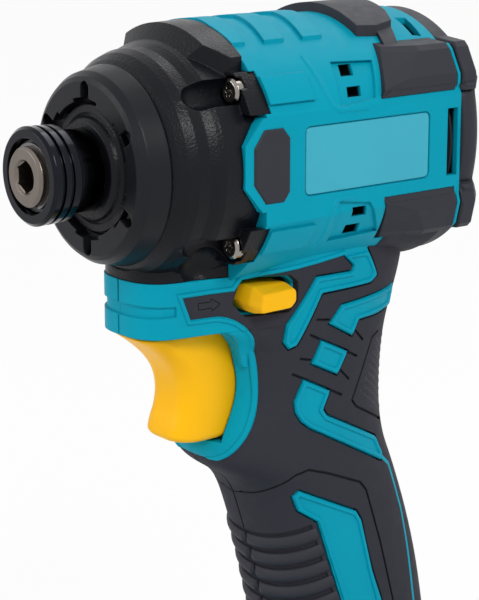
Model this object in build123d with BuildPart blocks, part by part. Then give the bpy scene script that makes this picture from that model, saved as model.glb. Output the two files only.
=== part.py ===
"""Compact cordless impact driver with a quick-change hex chuck and a slide-on battery pack.

Millimetres. Z is up, the nose points to -Y, and +X is the side on the operator's left. The origin is the
middle of the battery pack's flat underside. Along the drive axis, places are stations measured from the
sleeve's front face.
"""

import os
from math import acos, cos, pi, radians, sin, sqrt, tan

from build123d import *

os.makedirs("parts", exist_ok=True)

# Frame
AXIS_HEIGHT = 200.0
NOSE_Y = -85.0
SIDE = Plane(origin=(0, NOSE_Y, AXIS_HEIGHT), x_dir=(0, 1, 0), z_dir=(1, 0, 0))
DRIVE_AXIS = Axis((0, NOSE_Y, AXIS_HEIGHT), (0, 1, 0))

# Barrel of the housing
BARREL_RADIUS = 30.5
BARREL_HALF_WIDTH = 28.0
BARREL_FRONT = 44.0
BARREL_REAR = 103.0
BARREL_BORE = 24.6
FAN_BORE = 26.3
FAN_CHAMBER_FRONT = 95.0

# Chin under the hammer case
CHIN_FRONT = 23.3
CHIN_HALF_WIDTH = 12.0
CHIN_TOP = -26.2
CHIN_BOTTOM = -39.2

# Skins
RUBBER = 1.8
WALL = 2.2
FIT = 0.3

# Grip sections at an even pitch downwards: front, rear, half width, bluntness of the front
GRIP_TOP = -16.0
GRIP_SECTIONS = [
    (45.0, 102.5, 20.5, 3.0),
    (45.0, 103.6, 20.5, 3.0),
    (46.0, 100.6, 20.2, 2.8),
    (48.0, 97.9, 19.2, 2.6),
    (48.2, 97.4, 18.3, 2.6),
    (43.8, 98.5, 17.8, 2.6),
    (52.6, 101.2, 17.6, 2.6),
    (58.2, 105.2, 17.6, 2.4),
    (61.6, 108.7, 17.6, 2.4),
    (64.4, 111.5, 17.6, 2.4),
    (67.0, 113.6, 17.6, 2.4),
    (69.6, 115.4, 17.7, 2.4),
    (72.2, 117.2, 17.8, 2.4),
]
REAR_BLUNTNESS = 2.3
SECTION_POINTS = 16

# Chuck and anvil
SLEEVE_RADIUS = 11.0
SLEEVE_SKIRT = 9.3
SLEEVE_REAR = 14.2
SLEEVE_TRAVEL = 4.0
HEX_FLATS = 6.4
HEX_DEPTH = 25.0
TIP_RADIUS = 6.7
JOURNAL_RADIUS = 6.9
SHANK_RADIUS = 7.8
DETENT_STATION = 10.8
BALL_RADIUS = 2.1
RUNNING_GAP = 0.05

# Hammer case and nose
CASE_SCREW_X = 20.6
CASE_SCREW_Z = 17.4
CASE_SCREW_SEAT = 41.5
BUMPER_FRONT = 15.1
BUMPER_REAR = 22.0
BUSHING_REAR = 30.0

# Gear train
MODULE = 0.8
SUN_TEETH = 9
PLANET_TEETH = 21
RING_TEETH = SUN_TEETH + 2 * PLANET_TEETH
PLANETS = 3
PRESSURE_ANGLE = radians(25)
BACKLASH = 0.14
PLANET_ORBIT = MODULE * (SUN_TEETH + PLANET_TEETH) / 2
GEAR_FRONT = 58.3
GEAR_WIDTH = 6.0
CARRIER_RADIUS = 18.6
PIN_RADIUS = 2.5
SPINDLE_RADIUS = 7.0

# Motor
SHAFT_RADIUS = 2.5
STATOR_FRONT = 76.5
STATOR_LENGTH = 16.0
ROTOR_RADIUS = 12.0
AIR_GAP = 0.5
FAN_FRONT = 96.5

# Trigger and selector
TRIGGER_HALF_WIDTH = 8.5
TRIGGER_CORNER = 4.0
TRIGGER_TOP = -40.0
TRIGGER_TOE = -65.0
TRIGGER_BOTTOM = -66.9
TRIGGER_TRAVEL = 6.0
SELECTOR_TRAVEL = 3.0

# Battery pack, heights above the table
PACK_LENGTH = 110.0
PACK_WIDTH = 74.0
PACK_DECK = 46.0
PACK_SPLIT = 23.0
PACK_WALL = 2.2
PACK_CORNER = 8.0
CELL_RADIUS = 9.1
CELL_LENGTH = 65.0
CELL_PITCH = 19.0
CELL_COLUMNS = 5
RAIL_NECK = 17.0
RAIL_HEAD = 21.0
RAIL_LEDGE = 49.8
RAIL_TOP = 56.0
RAIL_FRONT = -38.0
RAIL_REAR = 26.0
LATCH_TRAVEL = 3.0

# Foot sections, in the same terms as the grip's, down to the battery's deck
FOOT_PITCH = 7.2
FOOT_LAP = 9.9
FOOT_SECTIONS = [
    (69.5, 115.7, 17.8, 2.6),
    (58.0, 120.6, 25.0, 4.0),
    (44.0, 127.0, 31.6, 5.5),
    (40.0, 130.0, 33.0, 6.0),
]
FOOT_BOTTOM = PACK_DECK + FIT - AXIS_HEIGHT
FOOT_TOP = FOOT_BOTTOM + FOOT_PITCH * (len(FOOT_SECTIONS) - 1)
GRIP_PITCH = (GRIP_TOP - FOOT_TOP + FOOT_LAP) / (len(GRIP_SECTIONS) - 1)
CHANNEL_CEILING = RAIL_TOP + FIT
CHANNEL_REAR = RAIL_REAR + 1.0
FOOT_FLOOR = CHANNEL_CEILING + 2.1


def station(distance):
    """Plane across the drive axis, facing the tail."""
    return Plane(origin=(0, NOSE_Y + distance, AXIS_HEIGHT), x_dir=(-1, 0, 0), z_dir=(0, 1, 0))


def level(height):
    """Horizontal plane at a height from the drive axis, with stations along its second direction."""
    return Plane(origin=(0, NOSE_Y, AXIS_HEIGHT + height))


def side_prism(points, near, far):
    """Solid with a side-view outline of (station, height) points, between two distances off the middle."""
    with BuildPart() as prism:
        with BuildSketch(SIDE.offset(near)):
            with BuildLine():
                Polyline(*points, close=True)
            make_face()
        extrude(amount=far - near)
    return prism.part


def plan_prism(points, low, high):
    """Solid with a top-view outline of (x, station) points, between two heights from the drive axis."""
    with BuildPart() as prism:
        with BuildSketch(level(low)):
            with BuildLine():
                Polyline(*points, close=True)
            make_face()
        extrude(amount=high - low)
    return prism.part


def turned(points):
    """Solid of revolution about the drive axis with an outline of (station, radius) points."""
    with BuildPart() as lathe:
        with BuildSketch(SIDE):
            with BuildLine():
                Polyline(*points, close=True)
            make_face()
        revolve(axis=DRIVE_AXIS)
    return lathe.part


def tube(front, rear, inner, outer):
    """Plain ring about the drive axis."""
    return turned([(front, inner), (rear, inner), (rear, outer), (front, outer)])


def mirrored(points):
    """An outline of (x, station) points with x not below zero, closed by its mirror image."""
    return points + [(-x, y) for x, y in reversed(points) if x > 0]


def section_points(front, rear, half_width, bluntness, inset):
    """Points of a rounded grip section, blunter at the front than at the rear."""
    middle = (front + rear) / 2
    depth = (rear - front) / 2 - inset
    width = half_width - inset
    points = []
    for index in range(SECTION_POINTS):
        angle = 2 * pi * index / SECTION_POINTS
        power = 2 / (bluntness if sin(angle) < 0 else REAR_BLUNTNESS)
        x = width * abs(cos(angle)) ** power * (1 if cos(angle) >= 0 else -1)
        y = depth * abs(sin(angle)) ** power * (1 if sin(angle) >= 0 else -1)
        points.append((x, middle + y))
    return points


def lofted(sections, top, pitch, inset):
    """Loft down through rounded sections at an even pitch."""
    with BuildPart() as form:
        for index, (front, rear, half_width, bluntness) in enumerate(sections):
            with BuildSketch(level(top - pitch * index)):
                with BuildLine():
                    Spline(*section_points(front, rear, half_width, bluntness, inset), periodic=True)
                make_face()
        loft()
    return form.part


def grip(inset):
    """Grip, or a surface inside it at a depth."""
    return lofted(GRIP_SECTIONS, GRIP_TOP, GRIP_PITCH, inset)


def foot(inset):
    """Foot, or a surface inside it at a depth."""
    return lofted(FOOT_SECTIONS, FOOT_TOP, FOOT_PITCH, inset)


def chin_outline(inset):
    """Top view of the chin: a blunt front with round corners, and flanks that widen towards the grip."""
    half = CHIN_HALF_WIDTH
    side = [
        (0, CHIN_FRONT),
        (half - 5.5, CHIN_FRONT + 0.9),
        (half - 1.6, CHIN_FRONT + 3.9),
        (half, CHIN_FRONT + 8.7),
        (half + 1.4, CHIN_FRONT + 16.7),
        (half + 4.4, CHIN_FRONT + 26.7),
        (half + 6.5, CHIN_FRONT + 36.7),
    ]
    moved = [(0, CHIN_FRONT + inset)]
    for before, here, after in zip(side, side[1:], side[2:] + side[-1:]):
        run = Vector(after[0] - before[0], after[1] - before[1]).normalized()
        moved.append((here[0] - inset * run.Y, here[1] + inset * run.X))
    with BuildSketch() as face:
        with BuildLine():
            edge = Spline(*[(-x, y) for x, y in reversed(moved)], *moved[1:])
            Line(edge @ 1, edge @ 0)
        make_face()
    return face.sketch


def barrel(inset, front, rear):
    """Round barrel with a flat on each flank."""
    with BuildPart() as form:
        with BuildSketch(station(front)):
            Circle(BARREL_RADIUS - inset)
            Rectangle(2 * (BARREL_HALF_WIDTH - inset), 2 * BARREL_RADIUS, mode=Mode.INTERSECT)
        extrude(amount=rear - front)
    return form.part


def chin(inset):
    """Block under the hammer case that carries the trigger's roof."""
    with BuildPart() as form:
        with BuildSketch(level(CHIN_BOTTOM + inset)):
            add(chin_outline(inset))
        extrude(amount=CHIN_TOP - CHIN_BOTTOM + 2 * inset)
    return form.part


def grip_form(inset):
    """Grip and chin, or a surface inside them at a depth."""
    with BuildPart() as form:
        add(grip(inset))
        add(chin(inset))
    return form.part


def gear_outline(teeth, tip, root, thinning):
    """Closed outline of a spur gear with arc flanks through points of the involute."""
    pitch = MODULE * teeth / 2
    base = pitch * cos(PRESSURE_ANGLE)
    half_tooth = pi / (2 * teeth) - thinning / (2 * pitch) + tan(PRESSURE_ANGLE) - PRESSURE_ANGLE

    def flank(radius):
        lean = acos(min(1, base / radius))
        return half_tooth - (tan(lean) - lean)

    def at(radius, angle):
        return radius * cos(angle), radius * sin(angle)

    middle = (tip + root) / 2
    with BuildLine() as outline:
        for tooth in range(teeth):
            here = 2 * pi * tooth / teeth
            following = here + 2 * pi / teeth
            ThreePointArc(
                at(root, here - flank(root)), at(middle, here - flank(middle)), at(tip, here - flank(tip))
            )
            Line(at(tip, here - flank(tip)), at(tip, here + flank(tip)))
            ThreePointArc(
                at(tip, here + flank(tip)), at(middle, here + flank(middle)), at(root, here + flank(root))
            )
            Line(at(root, here + flank(root)), at(root, following - flank(root)))
    return outline.wires()[0]


def sector(inner, outer, middle, half_angle):
    """Face between two radii about the drive axis, spread evenly about a direction in degrees."""
    with BuildSketch() as face:
        with BuildLine():
            far = CenterArc((0, 0), outer, middle - half_angle, 2 * half_angle)
            near = CenterArc((0, 0), inner, middle - half_angle, 2 * half_angle)
            Line(near @ 0, far @ 0)
            Line(near @ 1, far @ 1)
        make_face()
    return face.sketch


def coil_spring(start, direction, length, coil_radius, wire_radius, turns):
    """Compression spring from a point along a direction."""
    first = Vector(start) + Vector(direction) * wire_radius
    height = length - 2 * wire_radius
    with BuildPart() as spring:
        with BuildLine():
            coil = Helix(
                pitch=height / turns,
                height=height,
                radius=coil_radius,
                center=first,
                direction=direction,
            )
        with BuildSketch(Plane(origin=coil @ 0, z_dir=coil % 0)):
            Circle(wire_radius)
        sweep(path=coil, is_frenet=True)
    return spring.part


def axis_spring(front, rear, coil_radius, wire_radius, turns):
    """Compression spring along the drive axis between two stations."""
    start = (0, NOSE_Y + front, AXIS_HEIGHT)
    return coil_spring(start, (0, 1, 0), rear - front, coil_radius, wire_radius, turns)


# Anvil: hex socket, detent holes, journal for the sleeve, shank, striking arms and a bore for the pilot
ANVIL_FRONT = -1.0
ARM_FRONT = 32.0
ARM_REAR = 37.5
ARM_RADIUS = 17.0
ARM_HALF_ANGLE = 24
DETENT_SEAT = 1.9
DETENT_REACH = 4.75
with BuildPart() as anvil:
    add(
        turned(
            [
                (ANVIL_FRONT, 0),
                (ANVIL_FRONT, TIP_RADIUS - 0.6),
                (ANVIL_FRONT + 0.6, TIP_RADIUS),
                (0.9, TIP_RADIUS),
                (0.9, TIP_RADIUS - 0.6),
                (1.7, TIP_RADIUS - 0.6),
                (1.7, TIP_RADIUS),
                (2.4, TIP_RADIUS),
                (2.4, JOURNAL_RADIUS),
                (15.5, JOURNAL_RADIUS),
                (15.5, SHANK_RADIUS),
                (ARM_FRONT, SHANK_RADIUS),
                (ARM_FRONT, SHANK_RADIUS + 1.2),
                (ARM_REAR, SHANK_RADIUS + 1.2),
                (ARM_REAR, 0),
            ]
        )
    )
    with BuildSketch(station(ARM_FRONT)):
        for turn in (0, 180):
            add(sector(6.0, ARM_RADIUS, turn, ARM_HALF_ANGLE))
    extrude(amount=ARM_REAR - ARM_FRONT)
    with BuildSketch(station(ANVIL_FRONT)):
        RegularPolygon(HEX_FLATS / 2, 6, major_radius=False, rotation=30)
    extrude(amount=HEX_DEPTH, mode=Mode.SUBTRACT)
    add(turned([(-1, 0), (-1, 3.95), (-0.4, 3.5), (0, 0)]), mode=Mode.SUBTRACT)
    add(tube(31.0, ARM_REAR, 0, 3.4 + RUNNING_GAP), mode=Mode.SUBTRACT)
    for side in (1, -1):
        with Locations(Location((0, NOSE_Y + DETENT_STATION, AXIS_HEIGHT), (90 - 90 * side, 0, 0))):
            Cylinder(DETENT_SEAT, 8, align=(Align.CENTER, Align.CENTER, Align.MIN), mode=Mode.SUBTRACT)
        seat = DETENT_REACH - sqrt(BALL_RADIUS**2 - DETENT_SEAT**2)
        with Locations(
            Location((0, NOSE_Y + DETENT_STATION, AXIS_HEIGHT + side * seat), (90 - 90 * side, 0, 0))
        ):
            Cylinder(
                BALL_RADIUS + 0.1, 6, align=(Align.CENTER, Align.CENTER, Align.MIN), mode=Mode.SUBTRACT
            )

with BuildPart() as detent_balls:
    for side in (1, -1):
        with Locations((0, NOSE_Y + DETENT_STATION, AXIS_HEIGHT + side * DETENT_REACH)):
            Sphere(BALL_RADIUS)

# Chuck sleeve: three rings, a slim skirt, and inside a spring pocket and the land that holds the balls in
POCKET_RADIUS = 8.25
LAND_RADIUS = 7.2
LAND_FRONT = 9.4
LAND_REAR = 12.6
RING_PITCH = 2.3
RING_GROOVE = 0.7
with BuildPart() as chuck_sleeve:
    add(
        turned(
            [
                (0, 8.5),
                (0, SLEEVE_RADIUS - 0.7),
                (0.7, SLEEVE_RADIUS),
                (7.0, SLEEVE_RADIUS - 0.2),
                (7.5, SLEEVE_SKIRT + 0.5),
                (8.0, SLEEVE_SKIRT),
                (SLEEVE_REAR - 0.4, SLEEVE_SKIRT),
                (SLEEVE_REAR, SLEEVE_SKIRT - 0.4),
                (SLEEVE_REAR, LAND_RADIUS + 1.1),
                (LAND_REAR, LAND_RADIUS + 1.1),
                (LAND_REAR, LAND_RADIUS),
                (LAND_FRONT, LAND_RADIUS),
                (LAND_FRONT, POCKET_RADIUS),
                (0.6, POCKET_RADIUS),
            ]
        )
    )
    for groove in (1, 2):
        low = groove * RING_PITCH
        add(
            turned(
                [
                    (low - 0.5, SLEEVE_RADIUS + 1),
                    (low, SLEEVE_RADIUS - RING_GROOVE),
                    (low + 0.5, SLEEVE_RADIUS - RING_GROOVE),
                    (low + 1.0, SLEEVE_RADIUS + 1),
                ]
            ),
            mode=Mode.SUBTRACT,
        )

# Clip, washer and spring that hold the sleeve back
with BuildPart() as retaining_clip:
    add(tube(0.9, 1.7, TIP_RADIUS - 0.6, 7.4))
    with Locations((0, NOSE_Y + 1.3, AXIS_HEIGHT - 7)):
        Box(4.5, 3, 4.5, mode=Mode.SUBTRACT)

with BuildPart() as sleeve_washer:
    add(tube(1.7, 2.4, TIP_RADIUS + 0.1, 7.95))

with BuildPart() as sleeve_spring:
    add(axis_spring(2.4, LAND_FRONT, (LAND_RADIUS + POCKET_RADIUS) / 2 - 0.15, 0.4, 3))

# Bronze bushing and thrust washer of the anvil
BUSHING_RADIUS = SHANK_RADIUS + 1.8
BUSHING_FRONT = 15.4
with BuildPart() as anvil_bushing:
    add(tube(BUSHING_FRONT, BUSHING_REAR, SHANK_RADIUS + RUNNING_GAP, BUSHING_RADIUS))

with BuildPart() as thrust_washer:
    add(tube(BUSHING_REAR, 31.5, SHANK_RADIUS + FIT, 14.0))

# Hammer: hub on the spindle, spring pocket, outer skirt and two striking lugs
HAMMER_RADIUS = 19.0
HAMMER_FRONT = 38.5
HAMMER_TRAVEL = 5.0
HUB_RADIUS = 9.8
POCKET_FLOOR = 42.8
SKIRT_BORE = 14.4
CAM_STATION = 45.0
CAM_BALL = 2.4
CAM_REACH = 7.4
LUG_HALF_ANGLE = 22
LUG_LEAD = ARM_HALF_ANGLE + LUG_HALF_ANGLE + 2
with BuildPart() as hammer:
    add(
        turned(
            [
                (HAMMER_FRONT, SPINDLE_RADIUS + FIT),
                (HAMMER_FRONT, HAMMER_RADIUS - 1.5),
                (HAMMER_FRONT + 1.5, HAMMER_RADIUS),
                (49.5, HAMMER_RADIUS),
                (49.5, SKIRT_BORE),
                (POCKET_FLOOR, SKIRT_BORE),
                (POCKET_FLOOR, HUB_RADIUS),
                (50.0, HUB_RADIUS),
                (50.0, SPINDLE_RADIUS + FIT),
            ]
        )
    )
    with BuildSketch(station(33.0)):
        for turn in (LUG_LEAD, LUG_LEAD + 180):
            add(sector(10.0, ARM_RADIUS, turn, LUG_HALF_ANGLE))
    extrude(amount=HAMMER_FRONT - 33.0 + 0.5)
    for side in (1, -1):
        with Locations(
            Location((side * CAM_REACH, NOSE_Y + HAMMER_FRONT - 1, AXIS_HEIGHT), (-90, 0, 0))
        ):
            Cylinder(
                CAM_BALL + FIT,
                14,
                align=(Align.CENTER, Align.CENTER, Align.MIN),
                mode=Mode.SUBTRACT,
            )

with BuildPart() as cam_balls:
    for side in (1, -1):
        with Locations((side * CAM_REACH, NOSE_Y + CAM_STATION, AXIS_HEIGHT)):
            Sphere(CAM_BALL)

CARRIER_FRONT = 55.5
CARRIER_REAR = 66.2
with BuildPart() as hammer_spring:
    add(axis_spring(POCKET_FLOOR, CARRIER_FRONT, 12.1, 1.2, 3.5))

# Spindle: pilot, cam shaft with a V of ball tracks on each side, and the planet carrier with its rear hub
GEAR_REAR = GEAR_FRONT + GEAR_WIDTH
SUN_CLEAR = 5.2
CARRIER_HUB = 9.5
HUB_REAR = 69.8
with BuildPart() as spindle:
    add(
        turned(
            [
                (33.5, 0),
                (33.5, 3.0),
                (33.9, 3.4),
                (38.0, 3.4),
                (38.0, SPINDLE_RADIUS),
                (CARRIER_FRONT, SPINDLE_RADIUS),
                (CARRIER_FRONT, CARRIER_RADIUS),
                (CARRIER_REAR, CARRIER_RADIUS),
                (CARRIER_REAR, CARRIER_HUB),
                (HUB_REAR, CARRIER_HUB),
                (HUB_REAR, SUN_CLEAR),
                (GEAR_FRONT - 1.0, SUN_CLEAR),
                (GEAR_FRONT - 1.0, 0),
            ]
        )
    )
    add(tube(GEAR_FRONT - FIT, GEAR_REAR + FIT, 0, CARRIER_RADIUS + 1), mode=Mode.SUBTRACT)
    with BuildSketch(station(GEAR_FRONT - FIT)):
        with PolarLocations(16.0, PLANETS, start_angle=90 + 180 / PLANETS):
            Circle(2.4)
    extrude(amount=GEAR_WIDTH + 2 * FIT)
    with BuildSketch(station(CARRIER_FRONT)):
        with PolarLocations(PLANET_ORBIT, PLANETS, start_angle=90):
            Circle(PIN_RADIUS)
    extrude(amount=CARRIER_REAR - CARRIER_FRONT, mode=Mode.SUBTRACT)
    for side in (1, -1):
        with Locations((side * CAM_REACH, NOSE_Y + CAM_STATION, AXIS_HEIGHT)):
            Sphere(CAM_BALL, mode=Mode.SUBTRACT)
        for lean in (-35, 35):
            with Locations(
                Location((side * CAM_REACH, NOSE_Y + CAM_STATION, AXIS_HEIGHT), (90 + lean, 0, 0))
            ):
                Cylinder(
                    CAM_BALL,
                    11,
                    align=(Align.CENTER, Align.CENTER, Align.MIN),
                    mode=Mode.SUBTRACT,
                )

with BuildPart() as planet_pins:
    with BuildSketch(station(CARRIER_FRONT)):
        with PolarLocations(PLANET_ORBIT, PLANETS, start_angle=90):
            Circle(PIN_RADIUS)
    extrude(amount=CARRIER_REAR - CARRIER_FRONT)

# Planet gears, the first one straight above the drive axis with a gap towards the sun
planet_gears = []
for index in range(PLANETS):
    with BuildPart() as planet_gear:
        with BuildSketch(station(GEAR_FRONT)):
            with PolarLocations(PLANET_ORBIT, 1, start_angle=90 + 360 * index / PLANETS):
                add(
                    gear_outline(
                        PLANET_TEETH,
                        MODULE * (PLANET_TEETH / 2 + 0.9),
                        MODULE * (PLANET_TEETH / 2 - 1.15),
                        BACKLASH,
                    )
                )
                make_face()
                Circle(PIN_RADIUS + RUNNING_GAP, mode=Mode.SUBTRACT)
        extrude(amount=GEAR_WIDTH)
    planet_gears.append(planet_gear)

with BuildPart() as ring_gear:
    with BuildSketch(station(GEAR_FRONT - 0.8)):
        Circle(23.2)
        with BuildSketch(mode=Mode.SUBTRACT):
            add(
                gear_outline(
                    RING_TEETH,
                    MODULE * (RING_TEETH / 2 + 1.15),
                    MODULE * (RING_TEETH / 2 - 0.9),
                    -BACKLASH,
                ).rotate(Axis.Z, 90)
            )
            make_face()
    extrude(amount=GEAR_WIDTH + 1.6)

# Gearbox plate with its two bearings, between the gears and the motor
PLATE_FRONT = 66.6
PLATE_REAR = 70.8
SPINDLE_BEARING = 13.0
MOTOR_BEARING = 6.5
BOSS_REAR = 74.2
with BuildPart() as gearbox_plate:
    add(
        turned(
            [
                (PLATE_FRONT, SPINDLE_BEARING),
                (69.9, SPINDLE_BEARING),
                (69.9, 5.4),
                (PLATE_REAR, 5.4),
                (PLATE_REAR, MOTOR_BEARING),
                (BOSS_REAR, MOTOR_BEARING),
                (BOSS_REAR, MOTOR_BEARING + 2.2),
                (PLATE_REAR, MOTOR_BEARING + 2.2),
                (PLATE_REAR, BARREL_BORE),
                (PLATE_FRONT, BARREL_BORE),
            ]
        )
    )


def sealed_bearing(front, rear, bore, outer):
    """Ball bearing with a shield set back between its two races."""
    inner = bore + 0.25 * (outer - bore)
    rim = outer - 0.25 * (outer - bore)
    with BuildPart() as bearing:
        add(tube(front, rear, bore, outer))
        add(tube(front, front + 0.3, inner, rim), mode=Mode.SUBTRACT)
        add(tube(rear - 0.3, rear, inner, rim), mode=Mode.SUBTRACT)
    return bearing.part


with BuildPart() as spindle_bearing:
    add(sealed_bearing(66.7, 69.9, CARRIER_HUB + RUNNING_GAP, SPINDLE_BEARING))

with BuildPart() as front_bearing:
    add(sealed_bearing(PLATE_REAR, 73.8, SHAFT_RADIUS + RUNNING_GAP, MOTOR_BEARING))

REAR_BEARING_FRONT = 102.6
REAR_BEARING_REAR = 105.6
with BuildPart() as rear_bearing:
    add(sealed_bearing(REAR_BEARING_FRONT, REAR_BEARING_REAR, SHAFT_RADIUS + RUNNING_GAP, MOTOR_BEARING))

# Motor shaft with the sun gear cut on its front end
SUN_FRONT = GEAR_FRONT - 0.3
SUN_REAR = 66.4
with BuildPart() as motor_shaft:
    add(tube(SUN_REAR - 0.1, 106.3, 0, SHAFT_RADIUS))
    with BuildSketch(station(SUN_FRONT)):
        add(
            gear_outline(
                SUN_TEETH,
                MODULE * (SUN_TEETH / 2 + 0.9),
                MODULE * (SUN_TEETH / 2 - 1.15),
                BACKLASH,
            ).rotate(Axis.Z, 90)
        )
        make_face()
    extrude(amount=SUN_REAR - SUN_FRONT)

# Rotor core, its four magnets and the cooling fan
MAGNET_DEPTH = 1.5
MAGNETS = 4
STATOR_REAR = STATOR_FRONT + STATOR_LENGTH
with BuildPart() as rotor_core:
    add(tube(STATOR_FRONT, STATOR_REAR, SHAFT_RADIUS, ROTOR_RADIUS - MAGNET_DEPTH))

with BuildPart() as rotor_magnets:
    with BuildSketch(station(STATOR_FRONT)):
        for index in range(MAGNETS):
            add(sector(ROTOR_RADIUS - MAGNET_DEPTH, ROTOR_RADIUS, 360 * index / MAGNETS, 40))
    extrude(amount=STATOR_LENGTH)

FAN_RADIUS = 21.0
FAN_BLADES = 9
with BuildPart() as cooling_fan:
    add(tube(FAN_FRONT, 101.0, SHAFT_RADIUS, 5.0))
    add(tube(FAN_FRONT, FAN_FRONT + 1.2, SHAFT_RADIUS, FAN_RADIUS))
    with BuildSketch(station(FAN_FRONT)):
        with PolarLocations(8.0, FAN_BLADES):
            with Locations(Rotation(0, 0, 25)):
                Rectangle(12.5, 1.2, align=(Align.MIN, Align.CENTER))
    extrude(amount=4.5)

# Stator: yoke with six teeth, and a coil wound round each tooth
TEETH = 6
TOOTH_WIDTH = 6.0
YOKE_BORE = 20.5
STATOR_BORE = ROTOR_RADIUS + AIR_GAP
with BuildPart() as stator:
    with BuildSketch(station(STATOR_FRONT)):
        Circle(BARREL_BORE)
        Circle(YOKE_BORE, mode=Mode.SUBTRACT)
        with PolarLocations(0, TEETH):
            with Locations((STATOR_BORE, 0)):
                Rectangle(YOKE_BORE - STATOR_BORE + 1, TOOTH_WIDTH, align=(Align.MIN, Align.CENTER))
        for index in range(TEETH):
            add(sector(STATOR_BORE, STATOR_BORE + 1.4, 360 * index / TEETH, 25))
        Circle(STATOR_BORE, mode=Mode.SUBTRACT)
    extrude(amount=STATOR_LENGTH)

COIL_END = 2.0
COIL_WIDTH = 11.0
with BuildPart() as stator_coils:
    with BuildSketch(station(STATOR_FRONT - COIL_END)):
        with PolarLocations(0, TEETH):
            with Locations(((STATOR_BORE + 2.2 + YOKE_BORE - 0.8) / 2, 0)):
                Rectangle(YOKE_BORE - STATOR_BORE - 3.0, COIL_WIDTH)
    extrude(amount=STATOR_LENGTH + 2 * COIL_END)
    with BuildSketch(station(STATOR_FRONT)):
        with PolarLocations(0, TEETH):
            with Locations((STATOR_BORE, 0)):
                Rectangle(YOKE_BORE, TOOTH_WIDTH, align=(Align.MIN, Align.CENTER))
    extrude(amount=STATOR_LENGTH, mode=Mode.SUBTRACT)

with BuildPart() as sensor_board:
    add(tube(STATOR_REAR + COIL_END, STATOR_REAR + COIL_END + 1.0, 14.0, FAN_BORE - 1.9))

# Hammer case: turned shell with a top collar, a skirt over the chin, screw pads and their scooped channels
CASE_PROFILE = [
    (19.0, 18.5),
    (BUMPER_REAR, 21.8),
    (23.4, 23.5),
    (25.2, 24.9),
    (27.4, 25.7),
    (30.2, 26.0),
    (32.2, 26.9),
    (33.6, 27.3),
    (BARREL_FRONT, 27.3),
]
SHELL_BORE = 21.0
SPIGOT_REAR = PLATE_FRONT
SPIGOT_BORE = 23.2
PAD_REAR = 45.5
SCOOP_FRONT = 30.5
SCOOP_RADIUS = 3.5
TONGUE_DEPTH = 2.8
TONGUE = [
    (PAD_REAR, 12.0),
    (43.0, 12.0),
    (38.0, 6.2),
    (38.0, -3.2),
    (43.0, -9.0),
    (PAD_REAR, -9.0),
]
with BuildPart() as hammer_case:
    add(
        turned(
            [
                (BUSHING_FRONT, BUSHING_RADIUS),
                (BUSHING_FRONT, SHANK_RADIUS + 0.8),
                (14.6, SHANK_RADIUS + 0.8),
                (14.6, BUSHING_RADIUS + 1.0),
                (15.4, BUSHING_RADIUS + 1.8),
                (16.2, BUSHING_RADIUS + 2.2),
                (16.8, BUSHING_RADIUS + 3.0),
                (16.8, 14.2),
                (19.0, 14.4),
                *CASE_PROFILE,
                (BARREL_FRONT, BARREL_BORE),
                (SPIGOT_REAR, BARREL_BORE),
                (SPIGOT_REAR, SPIGOT_BORE),
                (PAD_REAR, SPIGOT_BORE),
                (PAD_REAR, SHELL_BORE),
                (35.0, SHELL_BORE),
                (BUSHING_REAR, 18.0),
                (BUSHING_REAR, BUSHING_RADIUS),
            ]
        )
    )
    with BuildPart(mode=Mode.PRIVATE) as collar:
        add(turned([(33.6, 25.0), (33.6, 26.6), (36.6, 30.9), (BARREL_FRONT, 31.1), (BARREL_FRONT, 25.0)]))
        collar_plan = [(0, 33), (11, 33), (16.5, 38.5), (19, 41), (19, BARREL_FRONT), (0, BARREL_FRONT)]
        add(plan_prism(mirrored(collar_plan), 12, 40), mode=Mode.INTERSECT)
    add(collar.part)
    with BuildPart(mode=Mode.PRIVATE) as skirt:
        with BuildSketch(level(CHIN_TOP)):
            add(chin_outline(FIT))
        extrude(amount=9)
        add(tube(20, 70, 0, 24.0), mode=Mode.SUBTRACT)
        add(tube(BARREL_FRONT, 70, 0, 40), mode=Mode.SUBTRACT)
    add(skirt.part)
    with Locations((17.0, NOSE_Y + 35, AXIS_HEIGHT - 23.4), (-17.0, NOSE_Y + 35, AXIS_HEIGHT - 23.4)):
        Sphere(6.0, mode=Mode.SUBTRACT)
    with BuildPart(mode=Mode.PRIVATE) as pads:
        add(tube(CASE_SCREW_SEAT - 1.5, PAD_REAR, 25.0, 30.2))
        with BuildSketch(station(20)):
            with Locations((0, (12.8 + 21.5) / 2), (0, -(12.8 + 21.5) / 2)):
                Rectangle(70, 21.5 - 12.8)
        extrude(amount=40, mode=Mode.INTERSECT)
    add(pads.part)
    with BuildSketch(station(SCOOP_FRONT)):
        with GridLocations(2 * CASE_SCREW_X, 2 * CASE_SCREW_Z, 2, 2):
            Circle(SCOOP_RADIUS)
    extrude(amount=CASE_SCREW_SEAT - SCOOP_FRONT, mode=Mode.SUBTRACT)
    with Locations(station(SCOOP_FRONT)):
        with GridLocations(2 * CASE_SCREW_X, 2 * CASE_SCREW_Z, 2, 2):
            Sphere(SCOOP_RADIUS, mode=Mode.SUBTRACT)
    with BuildSketch(station(20)):
        with GridLocations(2 * CASE_SCREW_X, 2 * CASE_SCREW_Z, 2, 2):
            Circle(1.7)
    extrude(amount=40, mode=Mode.SUBTRACT)
    for near in (BARREL_HALF_WIDTH - TONGUE_DEPTH, -40):
        add(
            side_prism(TONGUE, near, near + 40 - BARREL_HALF_WIDTH + TONGUE_DEPTH),
            mode=Mode.SUBTRACT,
        )

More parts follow.
